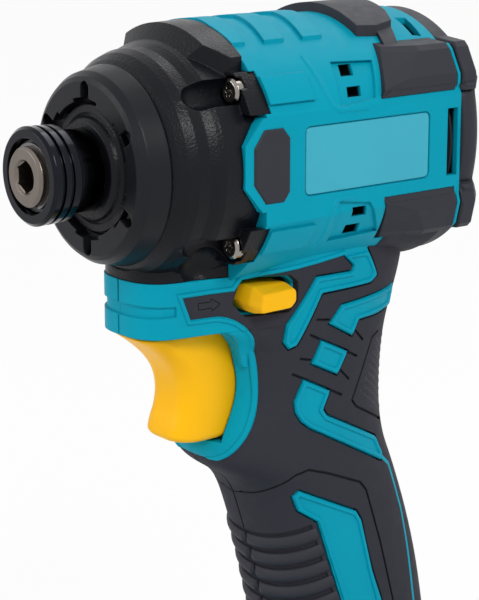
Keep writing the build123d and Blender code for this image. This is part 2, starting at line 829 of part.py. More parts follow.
# Rubber ring on the nose with six rounded notches
NOTCHES = 6
with BuildPart() as nose_bumper:
    add(
        turned(
            [
                (BUMPER_FRONT, 15.05),
                (BUMPER_FRONT, 19.4),
                (15.7, 20.5),
                (17.2, 21.6),
                (BUMPER_REAR, 22.7),
                (BUMPER_REAR, 21.8),
                (19.0, 18.5),
                (19.0, 15.05),
            ]
        )
    )
    with BuildSketch(station(BUMPER_FRONT)):
        with PolarLocations(0, NOTCHES, start_angle=90):
            with Locations((16.5, 0)):
                SlotCenterToCenter(3.0, 3.2)
        for index in range(NOTCHES):
            add(sector(14.0, 15.9, 90 + 360 * index / NOTCHES, 17))
    extrude(amount=2.6, mode=Mode.SUBTRACT)

# Case screws: pan head with a six-lobe recess, threaded shank
SCREW_LENGTH = 16.0
CASE_SCREW = 1.6
with BuildPart() as case_screws:
    with BuildSketch(station(CASE_SCREW_SEAT - 2.3)):
        with GridLocations(2 * CASE_SCREW_X, 2 * CASE_SCREW_Z, 2, 2):
            Circle(2.9)
    extrude(amount=2.3)
    chamfer(case_screws.faces().sort_by(Axis.Y)[:4].edges(), 0.6)
    with BuildSketch(station(CASE_SCREW_SEAT)):
        with GridLocations(2 * CASE_SCREW_X, 2 * CASE_SCREW_Z, 2, 2):
            Circle(CASE_SCREW)
    extrude(amount=SCREW_LENGTH)
    with BuildSketch(station(CASE_SCREW_SEAT - 2.3)):
        with GridLocations(2 * CASE_SCREW_X, 2 * CASE_SCREW_Z, 2, 2):
            Circle(0.9)
            with PolarLocations(0.95, 6):
                Circle(0.38)
    extrude(amount=1.4, mode=Mode.SUBTRACT)


def corner_block(outline, facets, bevel):
    """Bevelled block on a rear corner: a side-view outline under the facets of (x, height) points."""
    with BuildPart() as block:
        add(side_prism(outline, 10, 45))
        with BuildSketch(station(BARREL_FRONT)):
            with BuildLine():
                Polyline(*[(-x, z) for x, z in facets], close=True)
            make_face()
        extrude(amount=80, mode=Mode.INTERSECT)
        tilted = block.faces().filter_by(lambda face: min(face.normal_at().X, abs(face.normal_at().Z)) > 0.3)
        chamfer(tilted.sort_by(SortBy.AREA)[-1].edges(), bevel)
    return block.part


# Rear cap with the rear bearing's seat, air slots and a lug behind each corner block of the bumper
CAP_REAR = 110.0
LUG_REAR = 109.8
LUG_BEVEL = 1.2
SPIGOT_LENGTH = 1.5
UPPER_FACETS = [
    (8, 10),
    (BARREL_HALF_WIDTH + 4.0, 10),
    (BARREL_HALF_WIDTH - 7.6, 24.6),
    (8, BARREL_RADIUS - 0.6),
]
LOWER_FACETS = [
    (8, -6),
    (BARREL_HALF_WIDTH + 4.0, -6),
    (BARREL_HALF_WIDTH - 6.8, -22.5),
    (8, 1.5 - BARREL_RADIUS),
]
UPPER_LUG = [
    (BARREL_REAR, 13.0),
    (LUG_REAR - 2.4, 13.0),
    (LUG_REAR, 15.4),
    (LUG_REAR, 22.0),
    (LUG_REAR - 2.2, 24.2),
    (BARREL_REAR, 24.2),
]
LOWER_LUG = [
    (BARREL_REAR, -9.6),
    (LUG_REAR - 2.4, -9.6),
    (LUG_REAR, -12.0),
    (LUG_REAR, -18.6),
    (LUG_REAR - 2.2, -20.8),
    (BARREL_REAR, -20.8),
]
with BuildPart() as rear_cap:
    add(barrel(0.4, BARREL_REAR, CAP_REAR))
    dome = [(BARREL_REAR, 0), (BARREL_REAR, 31), (107.4, 31), (CAP_REAR, 27.4), (CAP_REAR, 0)]
    add(turned(dome), mode=Mode.INTERSECT)
    half = BARREL_HALF_WIDTH
    cap_plan = [(0, BARREL_REAR), (half, BARREL_REAR), (half, 107.4), (half - 2.8, CAP_REAR), (0, CAP_REAR)]
    add(plan_prism(mirrored(cap_plan), -35, 35), mode=Mode.INTERSECT)
    for outline, facets in ((UPPER_LUG, UPPER_FACETS), (LOWER_LUG, LOWER_FACETS)):
        lug = corner_block(outline, facets, LUG_BEVEL)
        add(lug)
        add(mirror(lug, about=Plane.YZ, mode=Mode.PRIVATE))
    add(tube(BARREL_REAR, 107.4, 0, FAN_BORE), mode=Mode.SUBTRACT)
    add(tube(BARREL_REAR - SPIGOT_LENGTH, 107.4, FAN_BORE - 1.5, FAN_BORE))
    add(tube(REAR_BEARING_FRONT, 107.6, 0, MOTOR_BEARING + 2.2))
    add(tube(REAR_BEARING_FRONT, REAR_BEARING_REAR, 0, MOTOR_BEARING), mode=Mode.SUBTRACT)
    add(tube(REAR_BEARING_REAR, 106.6, 0, SHAFT_RADIUS + 1), mode=Mode.SUBTRACT)
    with BuildSketch(station(100)):
        with Locations((0, 13), (0, 17.5), (0, -13), (0, -17.5)):
            SlotOverall(26, 2.4)
    extrude(amount=20, mode=Mode.SUBTRACT)

# Trigger: fingertip hollow in front, flat flanks that run into the grip, and the plunger it pushes
TRIGGER_REAR = 54.0
TRIGGER_FACE = [
    (25.0, TRIGGER_TOP),
    (29.2, -43.1),
    (33.0, -46.6),
    (35.6, -50.4),
    (36.7, -55.0),
    (36.2, -59.4),
    (34.7, TRIGGER_TOE),
    (34.1, TRIGGER_BOTTOM),
]
with BuildPart() as trigger:
    with BuildSketch(SIDE.offset(-TRIGGER_HALF_WIDTH)):
        with BuildLine():
            face = Spline(*TRIGGER_FACE)
            Polyline(face @ 1, (TRIGGER_REAR, TRIGGER_BOTTOM), (TRIGGER_REAR, TRIGGER_TOP), face @ 0)
        make_face()
    extrude(amount=2 * TRIGGER_HALF_WIDTH)
    fillet(trigger.edges().filter_by(GeomType.BSPLINE), TRIGGER_CORNER)
    toe_front = TRIGGER_FACE[-2][0] - 0.6
    toe = [(30, TRIGGER_TOE), (toe_front, TRIGGER_TOE), (36.0, TRIGGER_BOTTOM), (30, TRIGGER_BOTTOM)]
    add(side_prism(toe, -20, 20), mode=Mode.SUBTRACT)

SWITCH_FRONT = 62.0
SWITCH_REAR = 86.0
SWITCH_HALF_WIDTH = 10.5
SWITCH_TOP = -44.0
SWITCH_BOTTOM = -68.0
PLUNGER_HEIGHT = -54.0
PLUNGER_RADIUS = 3.0
with BuildPart() as switch_plunger:
    with BuildSketch(station(TRIGGER_REAR)):
        with Locations((0, PLUNGER_HEIGHT)):
            Circle(PLUNGER_RADIUS)
    extrude(amount=SWITCH_FRONT - TRIGGER_REAR + 2)

with BuildPart() as switch_body:
    with BuildSketch(SIDE.offset(-SWITCH_HALF_WIDTH)):
        with BuildLine():
            Polyline(
                (SWITCH_FRONT, SWITCH_BOTTOM),
                (SWITCH_REAR - 4, SWITCH_BOTTOM),
                (SWITCH_REAR, SWITCH_BOTTOM + 6),
                (SWITCH_REAR, SWITCH_TOP),
                (SWITCH_FRONT, SWITCH_TOP),
                close=True,
            )
        make_face()
    extrude(amount=2 * SWITCH_HALF_WIDTH)
    with BuildSketch(station(SWITCH_FRONT)):
        with Locations((0, PLUNGER_HEIGHT)):
            Circle(PLUNGER_RADIUS + FIT)
    extrude(amount=TRIGGER_TRAVEL + 3, mode=Mode.SUBTRACT)

# Direction selector: a bar through the housing with a bevelled cap on each end
CAP_OUTLINE = [
    (45.8, -32.4),
    (48.0, -34.9),
    (57.8, -34.7),
    (59.3, -33.0),
    (59.2, -29.0),
    (57.8, -27.8),
    (47.4, -27.4),
]
CAP_INNER = 9.5
CAP_OUTER = 21.2
BAR_FRONT = 48.5
BAR_REAR = 57.0
with BuildPart() as selector:
    for side in (1, -1):
        with BuildPart(mode=Mode.PRIVATE) as cap:
            add(side_prism(CAP_OUTLINE, CAP_INNER, CAP_OUTER))
            front_edges = cap.faces().sort_by(Axis.X)[-1].edges()
            chamfer(front_edges, 1.3)
            with BuildSketch(level(-40)):
                with BuildLine():
                    Polyline((15.0, 45.0), (30, 45.0), (30, 48.6), (CAP_OUTER, 48.6), close=True)
                make_face()
            extrude(amount=20, mode=Mode.SUBTRACT)
        if side == 1:
            add(cap.part)
        else:
            add(mirror(cap.part, about=Plane.YZ, mode=Mode.PRIVATE))
    bar = [(BAR_FRONT, -33.0), (BAR_REAR, -33.0), (BAR_REAR, -29.0), (BAR_FRONT, -29.0)]
    add(side_prism(bar, -CAP_INNER, CAP_INNER))

# Outlines on the grip in side view: the rubber, and the islands of the shell that stand through it
RUBBER_EDGE = [
    (34.5, -35.1),
    (32.6, -29.9),
    (45.2, -29.6),
    (47.0, -27.1),
    (73.7, -24.1),
    (81.0, -23.3),
    (85.5, -20.8),
    (125.0, -20.8),
    (125.0, -134.0),
    (30.0, -134.0),
    (30.0, -72.4),
    (45.9, -72.0),
]
GUARD_EDGE = [
    (45.9, -72.0),
    (48.5, -68.5),
    (51.2, -64.2),
    (53.1, -58.8),
    (53.5, -53.7),
    (52.3, -46.3),
    (50.1, -41.1),
    (46.0, -36.8),
    (41.3, -35.1),
]
ZIGZAG = [
    (73.7, -10.0),
    (73.7, -24.1),
    (76.6, -27.0),
    (75.9, -28.3),
    (65.3, -28.2),
    (57.9, -38.9),
    (57.6, -43.2),
    (59.0, -45.0),
    (60.9, -44.2),
    (66.9, -32.3),
    (82.3, -32.0),
    (84.7, -30.5),
    (83.3, -27.6),
    (81.0, -23.3),
    (81.0, -10.0),
]
WEDGE = [
    (69.8, -40.2),
    (73.2, -36.1),
    (94.0, -34.6),
    (94.0, -40.0),
    (86.9, -40.6),
    (78.9, -40.6),
    (77.2, -44.3),
]
SQUARE = [(67.8, -44.1), (76.0, -48.1), (73.3, -53.4), (65.5, -49.5)]
ELBOW = [
    (63.6, -53.3),
    (71.4, -57.3),
    (69.5, -61.6),
    (70.8, -63.4),
    (89.3, -73.0),
    (91.8, -77.8),
    (91.0, -79.4),
    (65.7, -65.6),
    (63.2, -63.6),
    (61.7, -61.2),
    (61.3, -58.6),
]
INLAY = [
    (63.3, -83.3),
    (64.4, -81.8),
    (81.0, -90.0),
    (82.7, -92.7),
    (84.1, -98.3),
    (86.6, -106.8),
    (89.8, -115.1),
    (91.6, -122.0),
    (89.6, -126.0),
    (82.6, -126.0),
    (77.5, -112.4),
    (70.1, -90.8),
    (65.1, -87.3),
]
STRIPE = [
    (91.4, -78.6),
    (94.9, -81.6),
    (97.2, -88.0),
    (99.4, -94.6),
    (100.9, -103.1),
    (102.4, -114.1),
    (104.6, -131.0),
]
STRIPE_WIDTH = 1.0
SEAM_LINE = [
    (50.0, -85.4),
    (56.3, -83.4),
    (58.5, -80.8),
    (62.5, -77.2),
    (66.0, -76.3),
    (72.5, -78.6),
    (82.2, -82.8),
    (84.3, -85.3),
    (89.2, -99.6),
    (94.1, -116.8),
    (98.0, -134.5),
]
SCORE_LINES = [
    [(64.2, -42.1), (79.7, -50.1)],
    [(62.1, -47.8), (65.6, -48.6)],
    [(60.4, -51.4), (75.4, -59.1)],
    [(78.1, -43.2), (81.5, -46.4)],
    [(74.2, -52.5), (77.4, -55.5)],
    [(65.8, -38.6), (69.7, -39.2)],
]
REAR_PATCH = [
    (110.0, -45.6),
    (88.2, -45.6),
    (85.3, -46.6),
    (79.0, -61.2),
    (80.6, -63.1),
    (95.0, -70.9),
    (110.0, -76.0),
]
LINE_WIDTH = 0.6
LINE_DEPTH = 0.7


def traced(lines, width, near, far):
    """Solid over lines in side view, drawn with a width."""
    with BuildPart() as solid:
        with BuildSketch(SIDE.offset(near)):
            for points in lines:
                with BuildLine() as path:
                    Polyline(*points)
                trace(path.edges(), line_width=width)
        extrude(amount=far - near)
    return solid.part


# Left half of the outer form: barrel, grip, chin and foot, cut square behind the barrel for the cap.
# A web rounds off each corner of the guard round the trigger.
UPPER_WEB = [
    (43.5, -38.4),
    (53.0, -38.4),
    (53.0, -49.4),
    (49.7, -49.4),
    (48.9, -45.6),
    (47.9, -43.5),
    (46.3, -41.5),
    (44.0, -39.9),
]
LOWER_WEB = [
    (46.4, -67.6),
    (53.0, -67.6),
    (53.0, -62.0),
    (49.4, -62.2),
    (48.5, -64.3),
    (47.4, -66.1),
]
WEB_FLANK = [(-1, -36), (13, -36), (13, -41), (9.2, -50), (9.2, -62), (10, -68), (-1, -68)]
with BuildPart() as webs:
    add(side_prism(UPPER_WEB, -1, 15))
    add(side_prism(LOWER_WEB, -1, 15))
    with BuildSketch(station(40)):
        with BuildLine():
            Polyline(*[(-x, z) for x, z in WEB_FLANK], close=True)
        make_face()
    extrude(amount=20, mode=Mode.INTERSECT)

with BuildPart() as left_form:
    add(grip_form(0))
    add(webs.part)
    add(barrel(0, BARREL_FRONT, BARREL_REAR))
    add(foot(0))
    split(bisect_by=Plane.YZ)
    behind = [(BARREL_REAR, -31), (130, -31), (130, 40), (BARREL_REAR, 40)]
    add(side_prism(behind, -1, 45), mode=Mode.SUBTRACT)

# Region of the left half that the rubber fills: its zone outside the inner surface, less islands and stripe
ISLANDS = [ZIGZAG, WEDGE, SQUARE, ELBOW, INLAY]
ISLAND_GAP = 0.45
with BuildPart() as rubber_region:
    with BuildSketch(SIDE.offset(-1)):
        with BuildLine():
            Polyline(*RUBBER_EDGE)
            Spline(*GUARD_EDGE)
            Line(GUARD_EDGE[-1], RUBBER_EDGE[0])
        make_face()
    extrude(amount=46)
    for outline in ISLANDS:
        add(side_prism(outline, 3, 46), mode=Mode.SUBTRACT)
    add(traced([STRIPE], STRIPE_WIDTH, 3, 46), mode=Mode.SUBTRACT)
    add(barrel(0, 30, 130), mode=Mode.SUBTRACT)
    add(grip_form(RUBBER), mode=Mode.SUBTRACT)

# Cuts into the rubber's surface: finger ribs, score lines and the parting line in front
PARTING = 0.25
RIB_TILT = 21.6
RIB_PITCH = 4.75
RIB_GROOVE = 1.3
RIBS = 8
RIB_TOP = (64.0, -93.8)
RIB_ZONE = [(40, -84), (66.0, -86.0), (68.9, -92.0), (75.4, -110.2), (80.5, -124.0), (80.5, -134), (40, -134)]
with BuildPart() as surface_cuts:
    for index in range(RIBS):
        along = RIB_PITCH * index
        place = (
            0,
            NOSE_Y + RIB_TOP[0] + along * sin(radians(RIB_TILT)),
            AXIS_HEIGHT + RIB_TOP[1] - along * cos(radians(RIB_TILT)),
        )
        with Locations(Location(place, (RIB_TILT, 0, 0))):
            Box(90, 40, RIB_GROOVE)
    add(side_prism(RIB_ZONE, -1, 45), mode=Mode.INTERSECT)
    add(traced(SCORE_LINES + [SEAM_LINE, REAR_PATCH[1:6]], LINE_WIDTH, 3, 45))
    add(side_prism([(35, -73), (72, -73), (78, -134), (45, -134)], -1, PARTING))
    add(barrel(-2, 30, 130), mode=Mode.SUBTRACT)
    add(grip_form(LINE_DEPTH), mode=Mode.SUBTRACT)


def selector_hole(margin):
    """Hole for a cap of the selector, with a margin round it."""
    with BuildPart() as hole:
        with BuildSketch(SIDE.offset(CAP_INNER - SELECTOR_TRAVEL - FIT)):
            with BuildLine():
                Polyline(*CAP_OUTLINE, close=True)
            make_face()
            offset(amount=margin)
        extrude(amount=26)
    return hole.part


with BuildPart() as trigger_opening:
    with BuildSketch(station(15)):
        with Locations((0, (TRIGGER_TOP + TRIGGER_BOTTOM) / 2)):
            Rectangle(2 * (TRIGGER_HALF_WIDTH + 0.4), TRIGGER_TOP - TRIGGER_BOTTOM + 1.2)
    extrude(amount=SWITCH_FRONT - 1 - 15)

with BuildPart() as island_gaps:
    with BuildSketch(SIDE.offset(3)):
        for outline in ISLANDS:
            with BuildLine():
                Polyline(*outline, close=True)
            make_face()
        offset(amount=ISLAND_GAP, kind=Kind.INTERSECTION)
    extrude(amount=42)

with BuildPart() as grip_left:
    add(left_form.part)
    add(rubber_region.part, mode=Mode.INTERSECT)
    add([trigger_opening.part, selector_hole(1.0), island_gaps.part], mode=Mode.SUBTRACT)
    add(surface_cuts.part, mode=Mode.SUBTRACT)

# Rear bumper of the left half: corner blocks and a top pad joined by a strap
BUMPER_SET = 1.2
BUMPER_PROUD = 0.9
PAD_PROUD = 2.2
BLOCK_BEVEL = 1.7
UPPER_CORNER = [(77.9, 13.2), (BARREL_REAR - 1.6, 13.3), (BARREL_REAR - 1.6, 24.4), (83.4, 24.4)]
LOWER_CORNER = [(79.0, -9.8), (BARREL_REAR - 1.6, -9.8), (BARREL_REAR - 1.6, -20.7), (80.8, -20.7)]
TOP_PAD = [(-1, 80.8), (15.8, 80.4), (16.3, 86.3), (15.0, 92.0), (10.6, 94.0), (0, 96.0), (-1, 96.0)]
STRAP = [(14.0, 87.0), (19.8, 85.4), (22.5, 83.5), (22.5, 89.0), (20.5, 89.4), (13.6, 92.6)]
with BuildPart() as bumper_region:
    add(side_prism(UPPER_CORNER, 10, 45))
    add(side_prism(LOWER_CORNER, 10, 45))
    add(plan_prism(TOP_PAD, 20, 45))
    add(plan_prism(STRAP, 14, 45))
    add(barrel(BUMPER_SET, 60, 110), mode=Mode.SUBTRACT)

with BuildPart() as bumper_left:
    with BuildPart(mode=Mode.PRIVATE) as top_pad:
        add(plan_prism(TOP_PAD, 20, 45))
        add(tube(60, 110, 0, BARREL_RADIUS + PAD_PROUD), mode=Mode.INTERSECT)
    with BuildPart(mode=Mode.PRIVATE) as strap:
        add(plan_prism(STRAP, 14, 45))
        add(barrel(-BUMPER_PROUD, 60, 110), mode=Mode.INTERSECT)
    add(corner_block(UPPER_CORNER, UPPER_FACETS, BLOCK_BEVEL))
    add(corner_block(LOWER_CORNER, LOWER_FACETS, BLOCK_BEVEL))
    add(top_pad.part)
    add(strap.part)
    add(barrel(BUMPER_SET, 60, 110), mode=Mode.SUBTRACT)
    split(bisect_by=Plane.YZ)

# Shell of the left half
PAD_LOW = 12.8
PAD_HIGH = 21.5
BLOCK_FRONT = 45.5
BLOCK_REAR = 58.5
BLOCK_PROUD = 0.7
CHEVRONS = 3
CHEVRON_START = 45.8
CHEVRON_PITCH = 11.2
CHEVRON_WIDTH = 5.8
CHEVRON_REACH = 15.5
CHEVRON_SWEEP = 0.25
CHEVRON_PROUD = 0.8
SIDE_PAD = [
    (40.4, 5.5),
    (43.2, 9.4),
    (48.6, 9.4),
    (50.6, 7.0),
    (50.6, -5.0),
    (49.0, -7.2),
    (43.8, -7.2),
    (40.4, -2.6),
]
SIDE_PAD_SEAT = 26.6
LABEL_CENTRE = (74.0, 1.1)
LABEL_DEPTH = 0.5
VENT_PANELS = [
    [(65.6, 12.4), (67.6, 21.7), (79.9, 21.2), (76.3, 13.4)],
    [(65.2, -9.1), (74.7, -10.4), (80.1, -18.4), (65.2, -19.1)],
]
VENTS = [
    [(69.3, 18.4), (70.1, 20.8), (73.9, 20.8), (73.1, 18.4)],
    [(68.9, 14.0), (69.6, 16.2), (73.7, 16.2), (73.0, 14.0)],
    [(69.9, -11.2), (74.0, -11.2), (74.6, -13.5), (70.2, -13.5)],
    [(69.5, -15.6), (73.9, -15.6), (74.4, -18.0), (69.7, -18.0)],
]
VENT_DEPTH = 0.8
BAND_DEPTH = 0.6
TAIL_SLOT = [(98.7, -7.0), (102.0, -7.0), (102.0, 9.0), (98.7, 9.0)]
TOP_VENT = [(10.0, 97.5), (17.0, 97.0), (17.5, 99.5), (10.5, 100.5)]
CAVITY_TOP = -27.5
SCREW_BOSS = 3.6
SCREW_PLACES = [(35.0, -34.2), (90.5, -36.5), (64.0, -76.0), (84.0, -112.0), (96.0, -134.5)]
BOSS_END = 15.5
SHELL_SCREW = 1.5
with BuildPart() as cavity:
    add(grip_form(RUBBER + WALL))
    add(foot(RUBBER + WALL))
    low = FOOT_FLOOR - AXIS_HEIGHT
    add(side_prism([(0, low), (150, low), (150, CAVITY_TOP), (0, CAVITY_TOP)], -50, 50), mode=Mode.INTERSECT)
    with BuildSketch(SIDE):
        with Locations(*SCREW_PLACES):
            Circle(SCREW_BOSS)
    extrude(amount=BOSS_END, mode=Mode.SUBTRACT)
    for rib in (70.0, 82.0):
        low = SWITCH_BOTTOM + 2
        high = SWITCH_TOP - 2
        outline = [(rib, low), (rib + 2, low), (rib + 2, high), (rib, high)]
        add(side_prism(outline, SWITCH_HALF_WIDTH, 20), mode=Mode.SUBTRACT)

with BuildPart() as trim:
    add(barrel(-BLOCK_PROUD, BLOCK_FRONT, BLOCK_REAR))
    with BuildSketch(station(BLOCK_FRONT)):
        with Locations((0, 17.6), (0, -16.5)):
            Rectangle(70, 5.8)
    extrude(amount=BLOCK_REAR - BLOCK_FRONT, mode=Mode.INTERSECT)
    with BuildPart(mode=Mode.PRIVATE) as chevrons:
        for index in range(CHEVRONS):
            start = CHEVRON_START + CHEVRON_PITCH * index
            back = CHEVRON_SWEEP * CHEVRON_REACH
            outline = [
                (0, start),
                (CHEVRON_REACH, start - back),
                (CHEVRON_REACH, start - back + CHEVRON_WIDTH),
                (0, start + CHEVRON_WIDTH),
            ]
            add(plan_prism(outline, 20, 40))
        skin = tube(BARREL_FRONT, BARREL_REAR, BARREL_RADIUS - 1, BARREL_RADIUS + CHEVRON_PROUD)
        add(skin, mode=Mode.INTERSECT)
    add(chevrons.part)
    add(side_prism(TONGUE, BARREL_HALF_WIDTH - TONGUE_DEPTH, BARREL_HALF_WIDTH))
    split(bisect_by=Plane.YZ)

with BuildPart() as openings:
    add(tube(BARREL_FRONT - 1, FAN_CHAMBER_FRONT, 0, BARREL_BORE))
    add(tube(FAN_CHAMBER_FRONT, BARREL_REAR + 1, 0, FAN_BORE))
    add(turned([(CASE_PROFILE[0][0], 0), *CASE_PROFILE, (BARREL_FRONT, 0)]))
    with BuildPart(mode=Mode.PRIVATE) as pad_seats:
        add(tube(BARREL_FRONT - 1, PAD_REAR, BARREL_BORE, BARREL_RADIUS + 2))
        with BuildSketch(station(30)):
            with Locations((0, (PAD_LOW + PAD_HIGH) / 2), (0, -(PAD_LOW + PAD_HIGH) / 2)):
                Rectangle(80, PAD_HIGH - PAD_LOW)
        extrude(amount=30, mode=Mode.INTERSECT)
    add(pad_seats.part)
    with BuildSketch(station(BARREL_FRONT)):
        with GridLocations(2 * CASE_SCREW_X, 2 * CASE_SCREW_Z, 2, 2):
            Circle(CASE_SCREW)
    extrude(amount=CASE_SCREW_SEAT + SCREW_LENGTH - BARREL_FRONT)
    add(side_prism(SIDE_PAD, SIDE_PAD_SEAT, 45))
    with BuildSketch(SIDE.offset(BARREL_HALF_WIDTH - LABEL_DEPTH)):
        with Locations(LABEL_CENTRE):
            RectangleRounded(38, 15.8, 1.5)
    extrude(amount=10)
    with BuildPart(mode=Mode.PRIVATE) as panels:
        for outline in VENT_PANELS:
            add(side_prism(outline, 12, 45))
        add(barrel(VENT_DEPTH, 60, 90), mode=Mode.SUBTRACT)
    add(panels.part)
    for outline in VENTS:
        add(side_prism(outline, 12, 45))
    add(side_prism(TAIL_SLOT, 20, 45))
    add(plan_prism(TOP_VENT, 15, 45))
    wire_way = [(0, 80.0), (6.0, 80.0), (6.0, 92.0), (0, 92.0)]
    add(plan_prism(mirrored(wire_way), CAVITY_TOP - 2, -20))
    with BuildPart(mode=Mode.PRIVATE) as chin_lines:
        add(side_prism([(20, -42), (36, -42), (36, -20), (20, -20)], -1, PARTING))
        add(chin(-1))
        band = [(20, -34.4), (31, -34.0), (31, -31.7), (20, -31.3)]
        with BuildPart(mode=Mode.PRIVATE) as band_zone:
            add(side_prism(band, -1, 30))
            add(side_prism([(20, -42), (36, -42), (36, -20), (20, -20)], -1, PARTING))
        add(band_zone.part, mode=Mode.INTERSECT)
        add(chin(BAND_DEPTH), mode=Mode.SUBTRACT)
    add(chin_lines.part)
    add(trigger_opening.part)
    add(selector_hole(0.4))
    neck = RAIL_NECK + FIT
    head = RAIL_HEAD + FIT
    with BuildSketch(Plane(origin=(0, NOSE_Y + 30, 0), x_dir=(-1, 0, 0), z_dir=(0, 1, 0))):
        with BuildLine():
            Polyline(
                (-neck, PACK_DECK - 1),
                (neck, PACK_DECK - 1),
                (neck, RAIL_LEDGE - FIT),
                (head, RAIL_LEDGE - FIT),
                (head, CHANNEL_CEILING),
                (-head, CHANNEL_CEILING),
                (-head, RAIL_LEDGE - FIT),
                (-neck, RAIL_LEDGE - FIT),
                close=True,
            )
        make_face()
    extrude(amount=CHANNEL_REAR - NOSE_Y - 30)

with BuildPart() as left_shell:
    add(left_form.part)
    add(trim.part)
    add([rubber_region.part, bumper_region.part, cavity.part], mode=Mode.SUBTRACT)
    add(openings.part, mode=Mode.SUBTRACT)

with BuildPart() as pilot_holes:
    with BuildSketch(SIDE):
        with Locations(*SCREW_PLACES):
            Circle(SHELL_SCREW)
    extrude(amount=10.5)

# Screws that clamp the halves, put in from the right
HEAD_SEAT = -8.0
with BuildPart() as housing_screws:
    with BuildSketch(SIDE.offset(HEAD_SEAT - 2.4)):
        with Locations(*SCREW_PLACES):
            Circle(3.0)
    extrude(amount=2.4)
    with BuildSketch(SIDE.offset(HEAD_SEAT)):
        with Locations(*SCREW_PLACES):
            Circle(SHELL_SCREW)
    extrude(amount=10 - HEAD_SEAT)
    with BuildSketch(SIDE.offset(HEAD_SEAT - 2.4)):
        with Locations(*SCREW_PLACES):
            Circle(0.9)
            with PolarLocations(0.95, 6):
                Circle(0.38)
    extrude(amount=1.4, mode=Mode.SUBTRACT)

with BuildPart() as screw_ways:
    with BuildSketch(SIDE.offset(HEAD_SEAT)):
        with Locations(*SCREW_PLACES):
            Circle(SHELL_SCREW + FIT)
    extrude(amount=1 - HEAD_SEAT)
    with BuildSketch(SIDE.offset(HEAD_SEAT)):
        with Locations(*SCREW_PLACES):
            Circle(3.3)
    extrude(amount=-40)

# The two halves of the housing, of the grip's rubber and of the rear bumper
with BuildPart() as housing_left:
    add(left_shell.part)
    add(pilot_holes.part, mode=Mode.SUBTRACT)

with BuildPart() as housing_right:
    add(mirror(left_shell.part, about=Plane.YZ, mode=Mode.PRIVATE))
    add(screw_ways.part, mode=Mode.SUBTRACT)

with BuildPart() as grip_right:
    add(mirror(grip_left.part, about=Plane.YZ, mode=Mode.PRIVATE))
    add(screw_ways.part, mode=Mode.SUBTRACT)

with BuildPart() as bumper_right:
    add(mirror(bumper_left.part, about=Plane.YZ, mode=Mode.PRIVATE))

with BuildPart() as side_pads:
    add(side_prism(SIDE_PAD, SIDE_PAD_SEAT, BARREL_HALF_WIDTH + 0.4))
    chamfer(side_pads.faces().sort_by(Axis.X)[-1].edges(), 0.4)
    mirror(about=Plane.YZ)

# Electronics in the foot: control board, terminal block and its blades
BLOCK_LENGTH = 13.5
BLADE_X = 9.5
BLADE_THICKNESS = 0.8
BLADE_FRONT = CHANNEL_REAR - BLOCK_LENGTH - 12
BLADE_LOW = RAIL_LEDGE + 1.0
BLADE_HIGH = CHANNEL_CEILING - 1.4
BLADE_Z = (BLADE_LOW + BLADE_HIGH) / 2
with BuildPart() as control_board:
    with Locations((0, NOSE_Y + 77, FOOT_FLOOR)):
        Box(34, 26, 1.6, align=(Align.CENTER, Align.CENTER, Align.MIN))
    with Locations((0, NOSE_Y + 71, FOOT_FLOOR + 1.6)):
        with GridLocations(9, 1, 3, 1):
            Box(6.5, 6, 2.4, align=(Align.CENTER, Align.CENTER, Align.MIN))
    with Locations((6, NOSE_Y + 83.5, FOOT_FLOOR + 1.6)):
        Cylinder(4.0, 8.0, align=(Align.CENTER, Align.CENTER, Align.MIN))

with BuildPart() as terminal_blades:
    for side in (1, -1):
        with Locations((side * BLADE_X, BLADE_FRONT, BLADE_Z)):
            Box(
                BLADE_THICKNESS, 16, BLADE_HIGH - BLADE_LOW, align=(Align.CENTER, Align.MIN, Align.CENTER)
            )

with BuildPart() as terminal_block:
    with Locations((0, CHANNEL_REAR, CHANNEL_CEILING)):
        Box(36, BLOCK_LENGTH, CHANNEL_CEILING - RAIL_LEDGE - 0.8, align=(Align.CENTER, Align.MAX, Align.MAX))
    add(terminal_blades.part, mode=Mode.SUBTRACT)

# Battery cells in two layers, held near their ends by two frames and joined by nickel links
LOW_ROW = PACK_WALL + CELL_RADIUS + 0.5
HIGH_ROW = LOW_ROW + CELL_PITCH
FRAME_INNER = 24.0
FRAME_OUTER = 31.0
CELL_TOP = HIGH_ROW + CELL_RADIUS
CELL_PLACES = [
    (CELL_PITCH * (column - (CELL_COLUMNS - 1) / 2), row)
    for column in range(CELL_COLUMNS)
    for row in (LOW_ROW, HIGH_ROW)
]
with BuildPart() as battery_cells:
    with BuildSketch(Plane.YZ.offset(-CELL_LENGTH / 2)):
        with Locations(*CELL_PLACES):
            Circle(CELL_RADIUS)
    extrude(amount=CELL_LENGTH)

FRAME_LENGTH = CELL_PITCH * CELL_COLUMNS
FRAME_TOP = CELL_TOP + 0.4
with BuildPart() as cell_frames:
    for near in (FRAME_INNER, -FRAME_OUTER):
        with BuildSketch(Plane.YZ.offset(near)):
            with Locations((0, (PACK_WALL + FRAME_TOP) / 2)):
                Rectangle(FRAME_LENGTH, FRAME_TOP - PACK_WALL)
            with Locations(*CELL_PLACES):
                Circle(CELL_RADIUS, mode=Mode.SUBTRACT)
        extrude(amount=FRAME_OUTER - FRAME_INNER)

LINK_THICKNESS = 0.4
LINK_COLUMNS = {1: [(0, 1), (2, 3), (4, 4)], -1: [(0, 0), (1, 2), (3, 4)]}
with BuildPart() as cell_links:
    for side, spans in LINK_COLUMNS.items():
        for first, last in spans:
            near = CELL_PITCH * (first - (CELL_COLUMNS - 1) / 2) - 4
            far = CELL_PITCH * (last - (CELL_COLUMNS - 1) / 2) + 4
            end = side * (CELL_LENGTH + LINK_THICKNESS) / 2
            with Locations((end, (near + far) / 2, (LOW_ROW + HIGH_ROW) / 2)):
                Box(LINK_THICKNESS, far - near, CELL_PITCH + 8)

